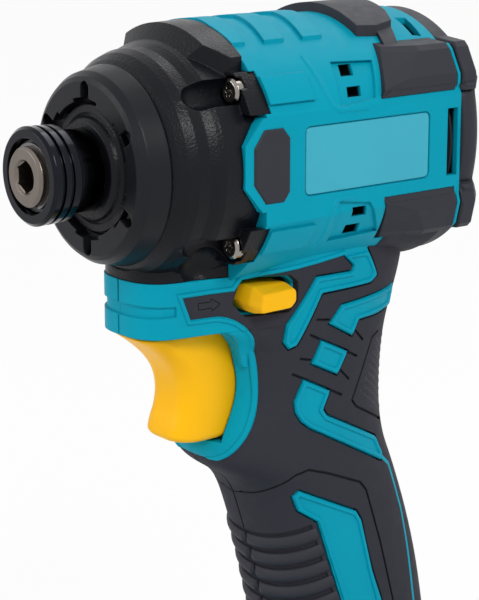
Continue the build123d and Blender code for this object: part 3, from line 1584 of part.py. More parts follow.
with BuildPart() as battery_board:
    with Locations((0, 0, FRAME_TOP)):
        Box(2 * FRAME_INNER + 8, 64, 1.6, align=(Align.CENTER, Align.CENTER, Align.MIN))
BOARD_TOP = FRAME_TOP + 1.6

# Contacts: a foot on the board, a post up through the deck, and two leaves that grip the tool's blade
SLOT_FRONT = BLADE_FRONT - 1.5
NOTCH_FRONT = CHANNEL_REAR - BLOCK_LENGTH - 1.0
LEAF_GAP = BLADE_THICKNESS + 0.3
LEAF = 0.5
SLOT_FLOOR = RAIL_LEDGE + 0.2
with BuildPart() as battery_contacts:
    for side in (1, -1):
        with Locations((side * BLADE_X, BLADE_FRONT + 1, SLOT_FLOOR)):
            Box(LEAF_GAP + 2 * LEAF, 8, 0.6, align=(Align.CENTER, Align.MIN, Align.MIN))
        for leaf in (1, -1):
            with Locations((side * BLADE_X + leaf * (LEAF_GAP + LEAF) / 2, BLADE_FRONT + 1, SLOT_FLOOR)):
                Box(LEAF, 8, BLADE_HIGH - SLOT_FLOOR, align=(Align.CENTER, Align.MIN, Align.MIN))
        with Locations((side * BLADE_X, BLADE_FRONT + 5, BOARD_TOP)):
            Box(1.2, 3, SLOT_FLOOR - BOARD_TOP + 0.2, align=(Align.CENTER, Align.CENTER, Align.MIN))

# Battery case: lower tray, upper cover with the T rail, and four screws from below
PACK_SCREW_X = PACK_WIDTH / 2 - 7.0
PACK_SCREW_Y = PACK_LENGTH / 2 - 4.0
PACK_BOSS = 3.1
PACK_SCREW = 1.4
LATCH_HALF_WIDTH = 11.0
LATCH_LOW = 27.0
LATCH_FRONT = -PACK_LENGTH / 2 + 0.4
LATCH_REAR = -FRAME_LENGTH / 2 - 0.4
SPRING_Y = -PACK_LENGTH / 2 + 5.0
SPRING_SEAT = 13.0
with BuildPart() as battery_tray:
    with BuildSketch():
        RectangleRounded(PACK_WIDTH, PACK_LENGTH, PACK_CORNER)
    extrude(amount=PACK_SPLIT)
    chamfer(battery_tray.faces().sort_by(Axis.Z)[0].edges(), 1.5)
    with BuildSketch(Plane.XY.offset(PACK_WALL)):
        RectangleRounded(PACK_WIDTH - 2 * PACK_WALL, PACK_LENGTH - 2 * PACK_WALL, PACK_CORNER - PACK_WALL)
    extrude(amount=PACK_SPLIT, mode=Mode.SUBTRACT)
    with BuildSketch():
        with GridLocations(2 * PACK_SCREW_X, 2 * PACK_SCREW_Y, 2, 2):
            Circle(PACK_BOSS)
    extrude(amount=PACK_SPLIT)
    with BuildSketch():
        with GridLocations(2 * PACK_SCREW_X, 2 * PACK_SCREW_Y, 2, 2):
            Circle(PACK_SCREW + FIT)
    extrude(amount=PACK_SPLIT, mode=Mode.SUBTRACT)
    with BuildSketch():
        with GridLocations(2 * PACK_SCREW_X, 2 * PACK_SCREW_Y, 2, 2):
            Circle(PACK_BOSS - 0.6)
    extrude(amount=4, mode=Mode.SUBTRACT)
    with Locations((0, -PACK_LENGTH / 2 + PACK_WALL - 0.5, PACK_WALL - 0.5)):
        Box(10, 5.5, SPRING_SEAT - PACK_WALL + 0.5, align=(Align.CENTER, Align.MIN, Align.MIN))

with BuildPart() as battery_cover:
    with BuildSketch(Plane.XY.offset(PACK_SPLIT)):
        RectangleRounded(PACK_WIDTH, PACK_LENGTH, PACK_CORNER)
    extrude(amount=PACK_DECK - PACK_SPLIT)
    chamfer(battery_cover.faces().sort_by(Axis.Z)[-1].edges(), 1.5)
    with BuildSketch(Plane.XY.offset(PACK_SPLIT)):
        RectangleRounded(PACK_WIDTH - 2 * PACK_WALL, PACK_LENGTH - 2 * PACK_WALL, PACK_CORNER - PACK_WALL)
    extrude(amount=PACK_DECK - PACK_SPLIT - PACK_WALL, mode=Mode.SUBTRACT)
    with BuildSketch(Plane.XY.offset(PACK_SPLIT)):
        with GridLocations(2 * PACK_SCREW_X, 2 * PACK_SCREW_Y, 2, 2):
            Circle(PACK_BOSS)
    extrude(amount=PACK_DECK - PACK_SPLIT - 1)
    with BuildSketch(Plane.XY.offset(PACK_SPLIT)):
        with GridLocations(2 * PACK_SCREW_X, 2 * PACK_SCREW_Y, 2, 2):
            Circle(PACK_SCREW)
    extrude(amount=12, mode=Mode.SUBTRACT)
    with BuildSketch(Plane(origin=(0, RAIL_FRONT, 0), x_dir=(-1, 0, 0), z_dir=(0, 1, 0))):
        with BuildLine():
            Polyline(
                (-RAIL_NECK, PACK_DECK - 1),
                (RAIL_NECK, PACK_DECK - 1),
                (RAIL_NECK, RAIL_LEDGE),
                (RAIL_HEAD, RAIL_LEDGE),
                (RAIL_HEAD, RAIL_TOP),
                (-RAIL_HEAD, RAIL_TOP),
                (-RAIL_HEAD, RAIL_LEDGE),
                (-RAIL_NECK, RAIL_LEDGE),
                close=True,
            )
        make_face()
    extrude(amount=RAIL_REAR - RAIL_FRONT)
    with Locations((0, NOTCH_FRONT, RAIL_LEDGE + 0.2)):
        Box(2 * RAIL_HEAD + 2, 40, 20, align=(Align.CENTER, Align.MIN, Align.MIN), mode=Mode.SUBTRACT)
    for side in (1, -1):
        with Locations((side * BLADE_X, SLOT_FRONT, SLOT_FLOOR)):
            Box(3.4, 40, 20, align=(Align.CENTER, Align.MIN, Align.MIN), mode=Mode.SUBTRACT)
    add(battery_contacts.part, mode=Mode.SUBTRACT)
    with Locations((0, -PACK_LENGTH / 2 - 1, LATCH_LOW - LATCH_TRAVEL - 0.4)):
        Box(
            2 * (LATCH_HALF_WIDTH + FIT),
            LATCH_REAR + PACK_LENGTH / 2 + 1.5,
            40,
            align=(Align.CENTER, Align.MIN, Align.MIN),
            mode=Mode.SUBTRACT,
        )

with BuildPart() as battery_screws:
    with BuildSketch(Plane.XY.offset(1.6)):
        with GridLocations(2 * PACK_SCREW_X, 2 * PACK_SCREW_Y, 2, 2):
            Circle(PACK_BOSS - 0.8)
    extrude(amount=2.4)
    with BuildSketch(Plane.XY.offset(4)):
        with GridLocations(2 * PACK_SCREW_X, 2 * PACK_SCREW_Y, 2, 2):
            Circle(PACK_SCREW)
    extrude(amount=PACK_SPLIT + 11 - 4)
    with BuildSketch(Plane.XY.offset(1.6)):
        with GridLocations(2 * PACK_SCREW_X, 2 * PACK_SCREW_Y, 2, 2):
            RegularPolygon(0.9, 6)
    extrude(amount=1.3, mode=Mode.SUBTRACT)

# Latch button at the front of the pack, with a thumb hollow, on its spring
with BuildPart() as battery_latch:
    with Locations((0, LATCH_FRONT, LATCH_LOW)):
        Box(
            2 * LATCH_HALF_WIDTH,
            LATCH_REAR - LATCH_FRONT,
            PACK_DECK - 0.4 - LATCH_LOW,
            align=(Align.CENTER, Align.MIN, Align.MIN),
        )
    for groove in range(3):
        with Locations((0, LATCH_FRONT, LATCH_LOW + 6 + 3.2 * groove)):
            Box(2 * LATCH_HALF_WIDTH - 5, 1.6, 1.4, mode=Mode.SUBTRACT)

with BuildPart() as latch_spring:
    add(coil_spring((0, SPRING_Y, SPRING_SEAT), (0, 0, 1), LATCH_LOW - SPRING_SEAT, 1.9, 0.4, 5))

# Every piece under its own name
PIECES = {
    "housing_left": housing_left,
    "housing_right": housing_right,
    "grip_left": grip_left,
    "grip_right": grip_right,
    "bumper_left": bumper_left,
    "bumper_right": bumper_right,
    "side_pads": side_pads,
    "rear_cap": rear_cap,
    "housing_screws": housing_screws,
    "hammer_case": hammer_case,
    "nose_bumper": nose_bumper,
    "case_screws": case_screws,
    "anvil_bushing": anvil_bushing,
    "thrust_washer": thrust_washer,
    "anvil": anvil,
    "detent_balls": detent_balls,
    "chuck_sleeve": chuck_sleeve,
    "retaining_clip": retaining_clip,
    "sleeve_washer": sleeve_washer,
    "sleeve_spring": sleeve_spring,
    "hammer": hammer,
    "cam_balls": cam_balls,
    "hammer_spring": hammer_spring,
    "spindle": spindle,
    "planet_pins": planet_pins,
    "planet_gear_1": planet_gears[0],
    "planet_gear_2": planet_gears[1],
    "planet_gear_3": planet_gears[2],
    "ring_gear": ring_gear,
    "gearbox_plate": gearbox_plate,
    "spindle_bearing": spindle_bearing,
    "front_bearing": front_bearing,
    "rear_bearing": rear_bearing,
    "motor_shaft": motor_shaft,
    "rotor_core": rotor_core,
    "rotor_magnets": rotor_magnets,
    "cooling_fan": cooling_fan,
    "stator": stator,
    "stator_coils": stator_coils,
    "sensor_board": sensor_board,
    "trigger": trigger,
    "switch_plunger": switch_plunger,
    "switch_body": switch_body,
    "selector": selector,
    "control_board": control_board,
    "terminal_block": terminal_block,
    "terminal_blades": terminal_blades,
    "battery_tray": battery_tray,
    "battery_cover": battery_cover,
    "battery_screws": battery_screws,
    "battery_cells": battery_cells,
    "cell_frames": cell_frames,
    "cell_links": cell_links,
    "battery_board": battery_board,
    "battery_contacts": battery_contacts,
    "battery_latch": battery_latch,
    "latch_spring": latch_spring,
}
for name, piece in PIECES.items():
    piece.part.label = name
    export_step(piece.part, f"parts/{name}.step")
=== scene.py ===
"""Looks of the cordless impact driver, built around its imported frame. Metres, Z up, nose towards -Y."""

import math

import bmesh
import bpy
from mathutils import Matrix, Vector
from mathutils.bvhtree import BVHTree


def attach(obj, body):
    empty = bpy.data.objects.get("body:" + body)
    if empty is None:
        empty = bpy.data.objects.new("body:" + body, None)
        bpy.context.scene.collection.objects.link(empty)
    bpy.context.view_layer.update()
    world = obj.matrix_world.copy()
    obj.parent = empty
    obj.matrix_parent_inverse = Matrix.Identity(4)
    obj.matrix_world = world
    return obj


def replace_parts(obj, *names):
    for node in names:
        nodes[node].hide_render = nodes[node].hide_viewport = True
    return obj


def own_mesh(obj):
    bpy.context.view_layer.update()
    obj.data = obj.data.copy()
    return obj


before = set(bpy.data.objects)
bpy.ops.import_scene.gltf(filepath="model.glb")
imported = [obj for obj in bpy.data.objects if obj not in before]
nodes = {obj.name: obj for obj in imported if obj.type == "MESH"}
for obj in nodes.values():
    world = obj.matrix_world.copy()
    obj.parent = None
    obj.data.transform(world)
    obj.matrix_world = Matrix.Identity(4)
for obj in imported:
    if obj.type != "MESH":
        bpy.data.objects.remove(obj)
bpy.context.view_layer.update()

MM = 0.001
NOSE_Y = -85 * MM
AXIS_Z = 200 * MM


# Materials

def srgb(red, green, blue):
    """Linear colour of an 8-bit display colour."""
    out = []
    for value in (red, green, blue):
        c = value / 255
        out.append(c / 12.92 if c <= 0.04045 else ((c + 0.055) / 1.055) ** 2.4)
    return (*out, 1.0)


# Most of a noise lies in this range
NOISE_RANGE = (0.25, 0.75)


class Look:
    """A principled material with its colour, roughness and bump driven by procedural textures."""

    def __init__(self, name, color, roughness, metallic=0.0):
        self.mat = bpy.data.materials.new(name)
        self.mat.use_nodes = True
        self.tree = self.mat.node_tree
        self.bsdf = self.tree.nodes["Principled BSDF"]
        self.bsdf.inputs["Base Color"].default_value = color
        self.bsdf.inputs["Roughness"].default_value = roughness
        self.bsdf.inputs["Metallic"].default_value = metallic
        self.color = color
        self.coords = self.tree.nodes.new("ShaderNodeTexCoord").outputs["Object"]
        self.normal = None

    def node(self, kind, **values):
        """New node. Each value is linked to an input, set on an input, or set as a property."""
        made = self.tree.nodes.new(kind)
        for key, value in values.items():
            if isinstance(value, bpy.types.NodeSocket):
                self.tree.links.new(value, made.inputs[key])
            elif key in made.inputs.keys():
                made.inputs[key].default_value = value
            else:
                setattr(made, key, value)
        return made

    def noise(self, size, detail, stretch=None):
        """Noise whose features are about a size in metres."""
        vector = self.coords
        if stretch:
            vector = self.node("ShaderNodeMapping", Vector=vector, Scale=stretch).outputs["Vector"]
        return self.node("ShaderNodeTexNoise", Vector=vector, Scale=1 / size, Detail=detail).outputs["Fac"]

    def cells(self, size):
        """Rounded cells about a size in metres."""
        made = self.node("ShaderNodeTexVoronoi", Vector=self.coords, Scale=1 / size, feature="SMOOTH_F1")
        return made.outputs["Distance"]

    def ramp(self, value, low, high, to_low=0.0, to_high=1.0):
        """Value taken from one range to another."""
        made = self.node("ShaderNodeMapRange")
        made.inputs["From Min"].default_value = low
        made.inputs["From Max"].default_value = high
        made.inputs["To Min"].default_value = to_low
        made.inputs["To Max"].default_value = to_high
        self.tree.links.new(value, made.inputs["Value"])
        return made.outputs["Result"]

    def math(self, operation, first, second=0.0):
        """Result of an operation on two values, each a socket or a number."""
        made = self.node("ShaderNodeMath", operation=operation)
        for socket, value in zip(made.inputs, (first, second)):
            if isinstance(value, bpy.types.NodeSocket):
                self.tree.links.new(value, socket)
            else:
                socket.default_value = value
        return made.outputs["Value"]

    def tint(self, fac, dark, light):
        """Base colour that runs between two shares of the plain colour."""
        ramp = self.node("ShaderNodeValToRGB")
        ramp.color_ramp.elements[0].color = tuple(c * dark for c in self.color[:3]) + (1.0,)
        ramp.color_ramp.elements[1].color = tuple(min(1.0, c * light) for c in self.color[:3]) + (1.0,)
        self.tree.links.new(fac, ramp.inputs["Fac"])
        self.tree.links.new(ramp.outputs["Color"], self.bsdf.inputs["Base Color"])

    def rough(self, fac, low, high):
        """Roughness that runs between two values."""
        self.tree.links.new(self.ramp(fac, *NOISE_RANGE, low, high), self.bsdf.inputs["Roughness"])

    def soft_edges(self, radius):
        """Shades sharp edges as if they were rounded by a radius."""
        self.normal = self.node("ShaderNodeBevel", samples=4, Radius=radius).outputs["Normal"]
        self.tree.links.new(self.normal, self.bsdf.inputs["Normal"])

    def bump(self, height, depth):
        """Bump of a depth in metres, on top of any bump before it."""
        made = self.node("ShaderNodeBump", Height=height)
        made.inputs["Strength"].default_value = 1.0
        made.inputs["Distance"].default_value = depth
        if self.normal:
            self.tree.links.new(self.normal, made.inputs["Normal"])
        self.normal = made.outputs["Normal"]
        self.tree.links.new(self.normal, self.bsdf.inputs["Normal"])

    def specular(self, level):
        """Strength of the reflection."""
        self.bsdf.inputs["Specular IOR Level"].default_value = level


# Roughness is given from low to high. Sizes of patches and grains, radii of edges and depths are in metres.
TONE_PATCH = 0.018
TONE_SHARES = (0.94, 1.05)
GLOSS_PATCH = 0.003
MOULDED_EDGE = 0.0004


def moulded_look(name, color, low, high, grain, fine_grain, depth, edge, specular):
    """Look of moulded plastic or rubber, with a coarse and a fine grain."""
    look = Look(name, color, (low + high) / 2)
    look.specular(specular)
    look.soft_edges(edge)
    look.tint(look.noise(TONE_PATCH, 3.0), *TONE_SHARES)
    look.rough(look.noise(GLOSS_PATCH, 2.0), low, high)
    look.bump(look.cells(grain), depth)
    look.bump(look.noise(fine_grain, 2.0), depth / 4)
    return look


def moulded(name, color, low, high, grain, depth, edge=MOULDED_EDGE, specular=0.3):
    """Moulded plastic or rubber: a fine grain, slow patches of tone and gloss, and rounded edges."""
    return moulded_look(name, color, low, high, grain, grain / 2, depth, edge, specular).mat


TEAL_COLOR = srgb(2, 153, 178)
TEAL_ROUGHNESS = (0.42, 0.52)
TEAL_GRAIN = 0.00035
TEAL_FINE_GRAIN = 0.0002
TEAL_SPECULAR = 0.07
# Painted shade for the inside of the barrel's air slots
PAINTED_SLOT_SHADE = srgb(16, 17, 19)

# Painted shade: the shell turns black behind and above these places, where it lies deeper in the barrel than
# its skin, for the unlit inside of its air slots
VENTS_FROM = NOSE_Y + 60 * MM
VENTS_ABOVE = AXIS_Z - 22 * MM
BARREL_RADIUS = 30.5 * MM
BARREL_HALF_WIDTH = 28 * MM
WALL_SKIN = (1.1 * MM, 1.8 * MM)

# Sockets of a colour mix node, whose names repeat
MIX_FIRST = 6
MIX_SECOND = 7
MIX_RESULT = 2


def teal_shell_with_slot_shade():
    """Moulded teal, with painted shade: black inside the barrel's air slots."""
    look = moulded_look(
        "teal_plastic",
        TEAL_COLOR,
        *TEAL_ROUGHNESS,
        grain=TEAL_GRAIN,
        fine_grain=TEAL_FINE_GRAIN,
        depth=0.000006,
        edge=MOULDED_EDGE,
        specular=TEAL_SPECULAR,
    )
    place = look.node("ShaderNodeSeparateXYZ", Vector=look.coords)
    height = look.math("SUBTRACT", place.outputs["Z"], AXIS_Z)
    across = look.math("ABSOLUTE", place.outputs["X"])
    squares = look.math("ADD", look.math("POWER", across, 2.0), look.math("POWER", height, 2.0))
    under_round = look.math("SUBTRACT", BARREL_RADIUS, look.math("SQRT", squares))
    under_flat = look.math("SUBTRACT", BARREL_HALF_WIDTH, across)
    deep = look.ramp(look.math("MINIMUM", under_round, under_flat), *WALL_SKIN)
    behind = look.math("GREATER_THAN", place.outputs["Y"], VENTS_FROM)
    above = look.math("GREATER_THAN", place.outputs["Z"], VENTS_ABOVE)
    # Share of painted shade, deep in the slots behind and above the given places
    dark = look.math("MULTIPLY", deep, look.math("MULTIPLY", behind, above))
    mix = look.node("ShaderNodeMix", data_type="RGBA")
    plain = look.bsdf.inputs["Base Color"].links[0].from_socket
    look.tree.links.new(dark, mix.inputs["Factor"])
    look.tree.links.new(plain, mix.inputs[MIX_FIRST])
    mix.inputs[MIX_SECOND].default_value = PAINTED_SLOT_SHADE
    look.tree.links.new(mix.outputs[MIX_RESULT], look.bsdf.inputs["Base Color"])
    return look.mat


METAL_EDGE = 0.00025
METAL_PATCH = 0.004
METAL_SHARES = (0.86, 1.06)
METAL_GLOSS_PATCH = 0.0015
RING_PITCH = 0.0005
RING_STRETCH = (0.2, 5.0, 0.2)
RING_DEPTH = 0.000006


def turned_metal(name, color, low, high):
    """Lathe-turned metal: fine rings round the drive axis in its surface, and patches of tone and gloss."""
    look = Look(name, color, (low + high) / 2, 1.0)
    look.soft_edges(METAL_EDGE)
    look.tint(look.noise(METAL_PATCH, 3.0), *METAL_SHARES)
    look.rough(look.noise(METAL_GLOSS_PATCH, 2.0), low, high)
    look.bump(look.noise(RING_PITCH, 1.0, stretch=RING_STRETCH), RING_DEPTH)
    return look.mat


RUBBER_COLOR = srgb(50, 50, 58)
TEAL = teal_shell_with_slot_shade()
FINE_TEAL = moulded(
    "teal_detail", TEAL_COLOR, *TEAL_ROUGHNESS, TEAL_GRAIN, 0.000004, edge=0.00012, specular=TEAL_SPECULAR
)
LABEL = moulded("label_gloss", srgb(60, 170, 192), 0.16, 0.22, 0.0012, 0.000002, edge=0.0002, specular=0.2)
RUBBER = moulded("black_rubber", RUBBER_COLOR, 0.62, 0.75, 0.0004, 0.000016, specular=0.12)
FINE_RUBBER = moulded("moulded_rubber", RUBBER_COLOR, 0.5, 0.62, 0.0004, 0.000008, edge=0.0001, specular=0.16)
# Painted shade for grooves in the rubber: the arrow's outline and the front seam
GROOVE_SHADE = moulded("rubber_crease", srgb(14, 14, 16), 0.7, 0.8, 0.0004, 0.000016, specular=0.04)
BUMPER = moulded("bumper_rubber", srgb(24, 25, 30), 0.3, 0.4, 0.0005, 0.000006, specular=0.16)
PEBBLE = moulded("pebbled_black", srgb(15, 16, 22), 0.28, 0.38, 0.0005, 0.00007, specular=0.16)
BLACK = moulded("black_plastic", srgb(50, 51, 58), 0.42, 0.54, 0.0004, 0.00002, specular=0.14)
YELLOW = moulded(
    "yellow_plastic", srgb(255, 188, 14), 0.36, 0.46, 0.0006, 0.000004, edge=0.0006, specular=0.14
)
BOARD = moulded("solder_mask", srgb(12, 96, 52), 0.3, 0.4, 0.0006, 0.000004)
WRAP = moulded("cell_wrap", srgb(36, 140, 110), 0.26, 0.36, 0.0008, 0.000004)
OXIDE = turned_metal("black_oxide", srgb(36, 37, 42), 0.12, 0.2)
STEEL = turned_metal("bright_steel", srgb(196, 192, 188), 0.22, 0.36)
TIP_STEEL = turned_metal("phosphated_steel", srgb(120, 112, 105), 0.3, 0.42)
SCREW = turned_metal("nickelled_screw", srgb(150, 144, 138), 0.14, 0.24)
DARK_STEEL = turned_metal("blackened_steel", srgb(70, 70, 74), 0.25, 0.4)
GEAR_STEEL = turned_metal("gear_steel", srgb(160, 160, 164), 0.28, 0.42)
SPRING = turned_metal("spring_wire", srgb(120, 118, 120), 0.2, 0.32)
BRONZE = turned_metal("sintered_bronze", srgb(176, 140, 90), 0.4, 0.55)
COPPER = turned_metal("enamelled_copper", srgb(196, 110, 62), 0.25, 0.4)
NICKEL = turned_metal("nickel_strip", srgb(196, 192, 186), 0.25, 0.38)

LOOKS = {
    "housing_left": TEAL,
    "housing_right": TEAL,
    "grip_left": RUBBER,
    "grip_right": RUBBER,
    "bumper_left": BLACK,
    "bumper_right": BLACK,
    "side_pads": BLACK,
    "rear_cap": BLACK,
    "housing_screws": DARK_STEEL,
    "hammer_case": PEBBLE,
    "nose_bumper": BUMPER,
    "case_screws": SCREW,
    "anvil_bushing": BRONZE,
    "thrust_washer": STEEL,
    "anvil": TIP_STEEL,
    "detent_balls": STEEL,
    "chuck_sleeve": OXIDE,
    "retaining_clip": SPRING,
    "sleeve_washer": DARK_STEEL,
    "sleeve_spring": SPRING,
    "hammer": GEAR_STEEL,
    "cam_balls": STEEL,
    "hammer_spring": SPRING,
    "spindle": GEAR_STEEL,
    "planet_pins": STEEL,
    "planet_gear_1": GEAR_STEEL,
    "planet_gear_2": GEAR_STEEL,
    "planet_gear_3": GEAR_STEEL,
    "ring_gear": GEAR_STEEL,
    "gearbox_plate": BLACK,
    "spindle_bearing": STEEL,
    "front_bearing": STEEL,
    "rear_bearing": STEEL,
    "motor_shaft": GEAR_STEEL,
    "rotor_core": GEAR_STEEL,
    "rotor_magnets": NICKEL,
    "cooling_fan": BLACK,
    "stator": GEAR_STEEL,
    "stator_coils": COPPER,
    "sensor_board": BOARD,
    "trigger": YELLOW,
    "switch_plunger": BLACK,
    "switch_body": BLACK,
    "selector": YELLOW,
    "control_board": BOARD,
    "terminal_block": BLACK,
    "terminal_blades": NICKEL,
    "battery_tray": BLACK,
    "battery_cover": BLACK,
    "battery_screws": DARK_STEEL,
    "battery_cells": WRAP,
    "cell_frames": BLACK,
    "cell_links": NICKEL,
    "battery_board": BOARD,
    "battery_contacts": NICKEL,
    "battery_latch": RUBBER,
    "latch_spring": SPRING,
}
for name, node in nodes.items():
    node.data.materials.clear()
    node.data.materials.append(LOOKS[name])


# Details laid on the housing. Places are in millimetres: stations from the sleeve's front face along the
# drive axis, and heights from that axis, as in a side view.
SIDES = {"left": 1, "right": -1}
SQUARE = [(67.8, -44.1), (76.0, -48.1), (73.3, -53.4), (65.5, -49.5)]
ELBOW = [
    (63.6, -53.3),
    (71.4, -57.3),
    (69.5, -61.6),
    (70.8, -63.4),
    (89.3, -73.0),
    (91.8, -77.8),
    (91.0, -79.4),
    (65.7, -65.6),
    (63.2, -63.6),
    (61.7, -61.2),
    (61.3, -58.6),
]
WEDGE = [(69.8, -40.2), (73.2, -36.1), (93.0, -34.7), (93.0, -40.0), (78.9, -40.6), (77.2, -44.3)]
INLAY = [
    (63.3, -83.3),
    (64.4, -81.8),
    (81.0, -90.0),
    (82.7, -92.7),
    (86.6, -106.8),
    (91.6, -122.0),
    (89.6, -126.0),
    (82.6, -126.0),
    (70.1, -90.8),
    (65.1, -87.3),
]
ZIGZAG = [
    (73.7, -24.4),
    (76.6, -27.0),
    (75.9, -28.3),
    (65.3, -28.2),
    (57.9, -38.9),
    (57.6, -43.2),
    (59.0, -45.0),
    (60.9, -44.2),
    (66.9, -32.3),
    (82.3, -32.0),
    (84.7, -30.5),
    (83.3, -27.6),
    (81.3, -24.0),
]
GUARD = [
    (45.9, -72.0),
    (48.5, -68.5),
    (51.2, -64.2),
    (53.1, -58.8),
    (53.5, -53.7),
    (52.3, -46.3),
    (50.1, -41.1),
    (46.0, -36.8),
    (41.3, -35.1),
]
TONGUE = [(34.5, -35.1), (32.6, -29.9), (45.2, -29.6), (47.0, -27.1), (73.7, -24.1)]
BEHIND_TONGUE = [(90.0, -24.0), (90.0, -72.0)]
BARREL_STEPS = [
    [(60.6, 23.4), (61.6, 19.0), (62.6, 14.4), (63.4, 12.6), (65.0, 11.5), (74.0, 11.3)],
    [(70.0, -8.2), (64.6, -8.6), (63.2, -10.0), (62.7, -12.2), (62.7, -17.6), (62.0, -20.8)],
]
ARROW = [
    (36.4, -31.5),
    (39.6, -31.5),
    (39.6, -30.7),
    (41.9, -32.2),
    (39.9, -33.7),
    (39.8, -32.9),
    (36.6, -33.1),
]
SCALES = [
    (88.2, -46.4),
    (85.9, -47.2),
    (79.8, -61.2),
    (81.2, -62.4),
    (93.6, -69.0),
    (96.0, -69.8),
    (95.0, -46.4),
]


def spot(x, s, z):
    """Point in the frame of a place given in millimetres."""
    return Vector((x * MM, NOSE_Y + s * MM, AXIS_Z + z * MM))


def surface(*names):
    """Tree for casting rays at some nodes."""
    points, faces = [], []
    for name in names:
        mesh = nodes[name].data
        first = len(points)
        points += [v.co.copy() for v in mesh.vertices]
        faces += [[first + i for i in p.vertices] for p in mesh.polygons]
    return BVHTree.FromPolygons(points, faces)


HOLE_DEPTH = 0.3 * MM
FAR_OUT = 60.0
FORWARDS = Vector((0, -1, 0))
DOWNWARDS = Vector((0, 0, -1))


def side_surface(kind, name):
    """Trees of a node on one side and of its twin on the left."""
    return surface(kind + name), surface(kind + "left")


def seen_from_side(trees, side, s, z, lift):
    """Point raised by a height over the place where a line across the tool first meets a surface.

    There is none over a screw hole, where the surface lies deeper than on its twin.
    """
    own, left = trees
    place, normal = own.ray_cast(spot(side * FAR_OUT, s, z), Vector((-side, 0, 0)))[:2]
    twin = left.ray_cast(spot(FAR_OUT, s, z), Vector((-1, 0, 0)))[0]
    if place is None or twin is None or abs(abs(place.x) - twin.x) > HOLE_DEPTH:
        return None
    return place + normal * lift * MM


def edges(outline):
    """Pairs of points that follow each other round a closed outline."""
    return zip(outline, outline[1:] + outline[:1])


def neighbours(outline):
    """Points of a closed outline, each between the one before it and the one after."""
    return zip(outline[-1:] + outline[:-1], outline, outline[1:] + outline[:1])


# A sharp corner's mitre is cut short. A rounded corner has a few points and takes up to a share of its edges.
# Paths are divided into steps in millimetres, and points nearer than a distance in metres are merged.
MITRE_LEAST = 0.5
ROUND_POINTS = 4
ROUND_SHARE = 0.45
DIVISION = 0.5
MERGE_DISTANCE = 0.000002


def inset(outline, amount):
    """Closed outline moved inwards by an amount, with mitred corners."""
    area = sum(a[0] * b[1] - b[0] * a[1] for a, b in edges(outline))
    turn = math.copysign(1, area)
    moved = []
    for before, here, after in neighbours(outline):
        first = (Vector(here) - Vector(before)).normalized()
        second = (Vector(after) - Vector(here)).normalized()
        normals = Vector((-first.y, first.x)) * turn, Vector((-second.y, second.x)) * turn
        mitre = (normals[0] + normals[1]) / max(MITRE_LEAST, 1 + normals[0].dot(normals[1]))
        moved.append(tuple(Vector(here) + mitre * amount))
    return moved


def rounded(outline, radius):
    """Closed outline whose corners are turned by a few points each."""
    points = []
    for before, here, after in neighbours(outline):
        here = Vector(here)
        to_before, to_after = Vector(before) - here, Vector(after) - here
        first = here + to_before.normalized() * min(radius, to_before.length * ROUND_SHARE)
        last = here + to_after.normalized() * min(radius, to_after.length * ROUND_SHARE)
        for step in range(ROUND_POINTS):
            t = step / (ROUND_POINTS - 1)
            points.append(first * (1 - t) ** 2 + here * 2 * t * (1 - t) + last * t * t)
    return points


def smooth(points, steps=6):
    """Points of a smooth curve through some points."""
    ends = [points[0]] + list(points) + [points[-1]]
    out = []
    for a, b, c, d in zip(ends, ends[1:], ends[2:], ends[3:]):
        a, b, c, d = Vector(a), Vector(b), Vector(c), Vector(d)
        for step in range(steps):
            t = step / steps
            pull = (c - a) * t + (2 * a - 5 * b + 4 * c - d) * t * t + (3 * b - a - 3 * c + d) * t ** 3
            out.append(b + pull / 2)
    return out + [Vector(points[-1])]


def stepped(rings, closed):
    """Rings of as many corners, all divided alike into short steps."""
    corners = [ring + ring[:1] if closed else ring for ring in rings]
    lengths = [(Vector(b) - Vector(a)).length for a, b in zip(corners[0], corners[0][1:])]
    counts = [max(1, math.ceil(length / DIVISION)) for length in lengths]
    out = []
    for ring in corners:
        points = []
        for count, a, b in zip(counts, ring, ring[1:]):
            points += [Vector(a).lerp(Vector(b), i / count) for i in range(count)]
        out.append(points if closed else points + [Vector(ring[-1])])
    return out


def skin(bm, rows, closed):
    """Faces between rows of as many points. Rows with a point missing are left out."""
    made = [[bm.verts.new(point) for point in row] if all(row) else None for row in rows]
    for a, b in zip(made, made[1:] + made[:1] if closed else made[1:]):
        if a and b:
            for i in range(len(a) - 1):
                bm.faces.new((a[i], a[i + 1], b[i + 1], b[i]))


def tube(bm, rings):
    """Faces between closed rings of as many points."""
    skin(bm, [ring + ring[:1] for ring in rings], False)


def loft(bm, rings):
    """Closed form through rings of as many points."""
    tube(bm, rings)
    for ring in (rings[0], rings[-1]):
        bm.faces.new([bm.verts.new(point) for point in ring])


def finished(name, bm, material, body, flat=False, outwards=None):
    """Object of a bmesh that rides on a body. The faces of an open sheet are turned to a given direction."""
    bmesh.ops.remove_doubles(bm, verts=bm.verts, dist=MERGE_DISTANCE)
    bmesh.ops.recalc_face_normals(bm, faces=bm.faces)
    if outwards is not None:
        facing = sum((f.normal * f.calc_area() for f in bm.faces), Vector()).dot(outwards)
        if facing < 0:
            bmesh.ops.reverse_faces(bm, faces=bm.faces)
    mesh = bpy.data.meshes.new(name)
    bm.to_mesh(mesh)
    bm.free()
    for polygon in mesh.polygons:
        polygon.use_smooth = not flat
    mesh.materials.append(material)
    piece = bpy.data.objects.new(name, mesh)
    bpy.context.scene.collection.objects.link(piece)
    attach(piece, body)
    return piece


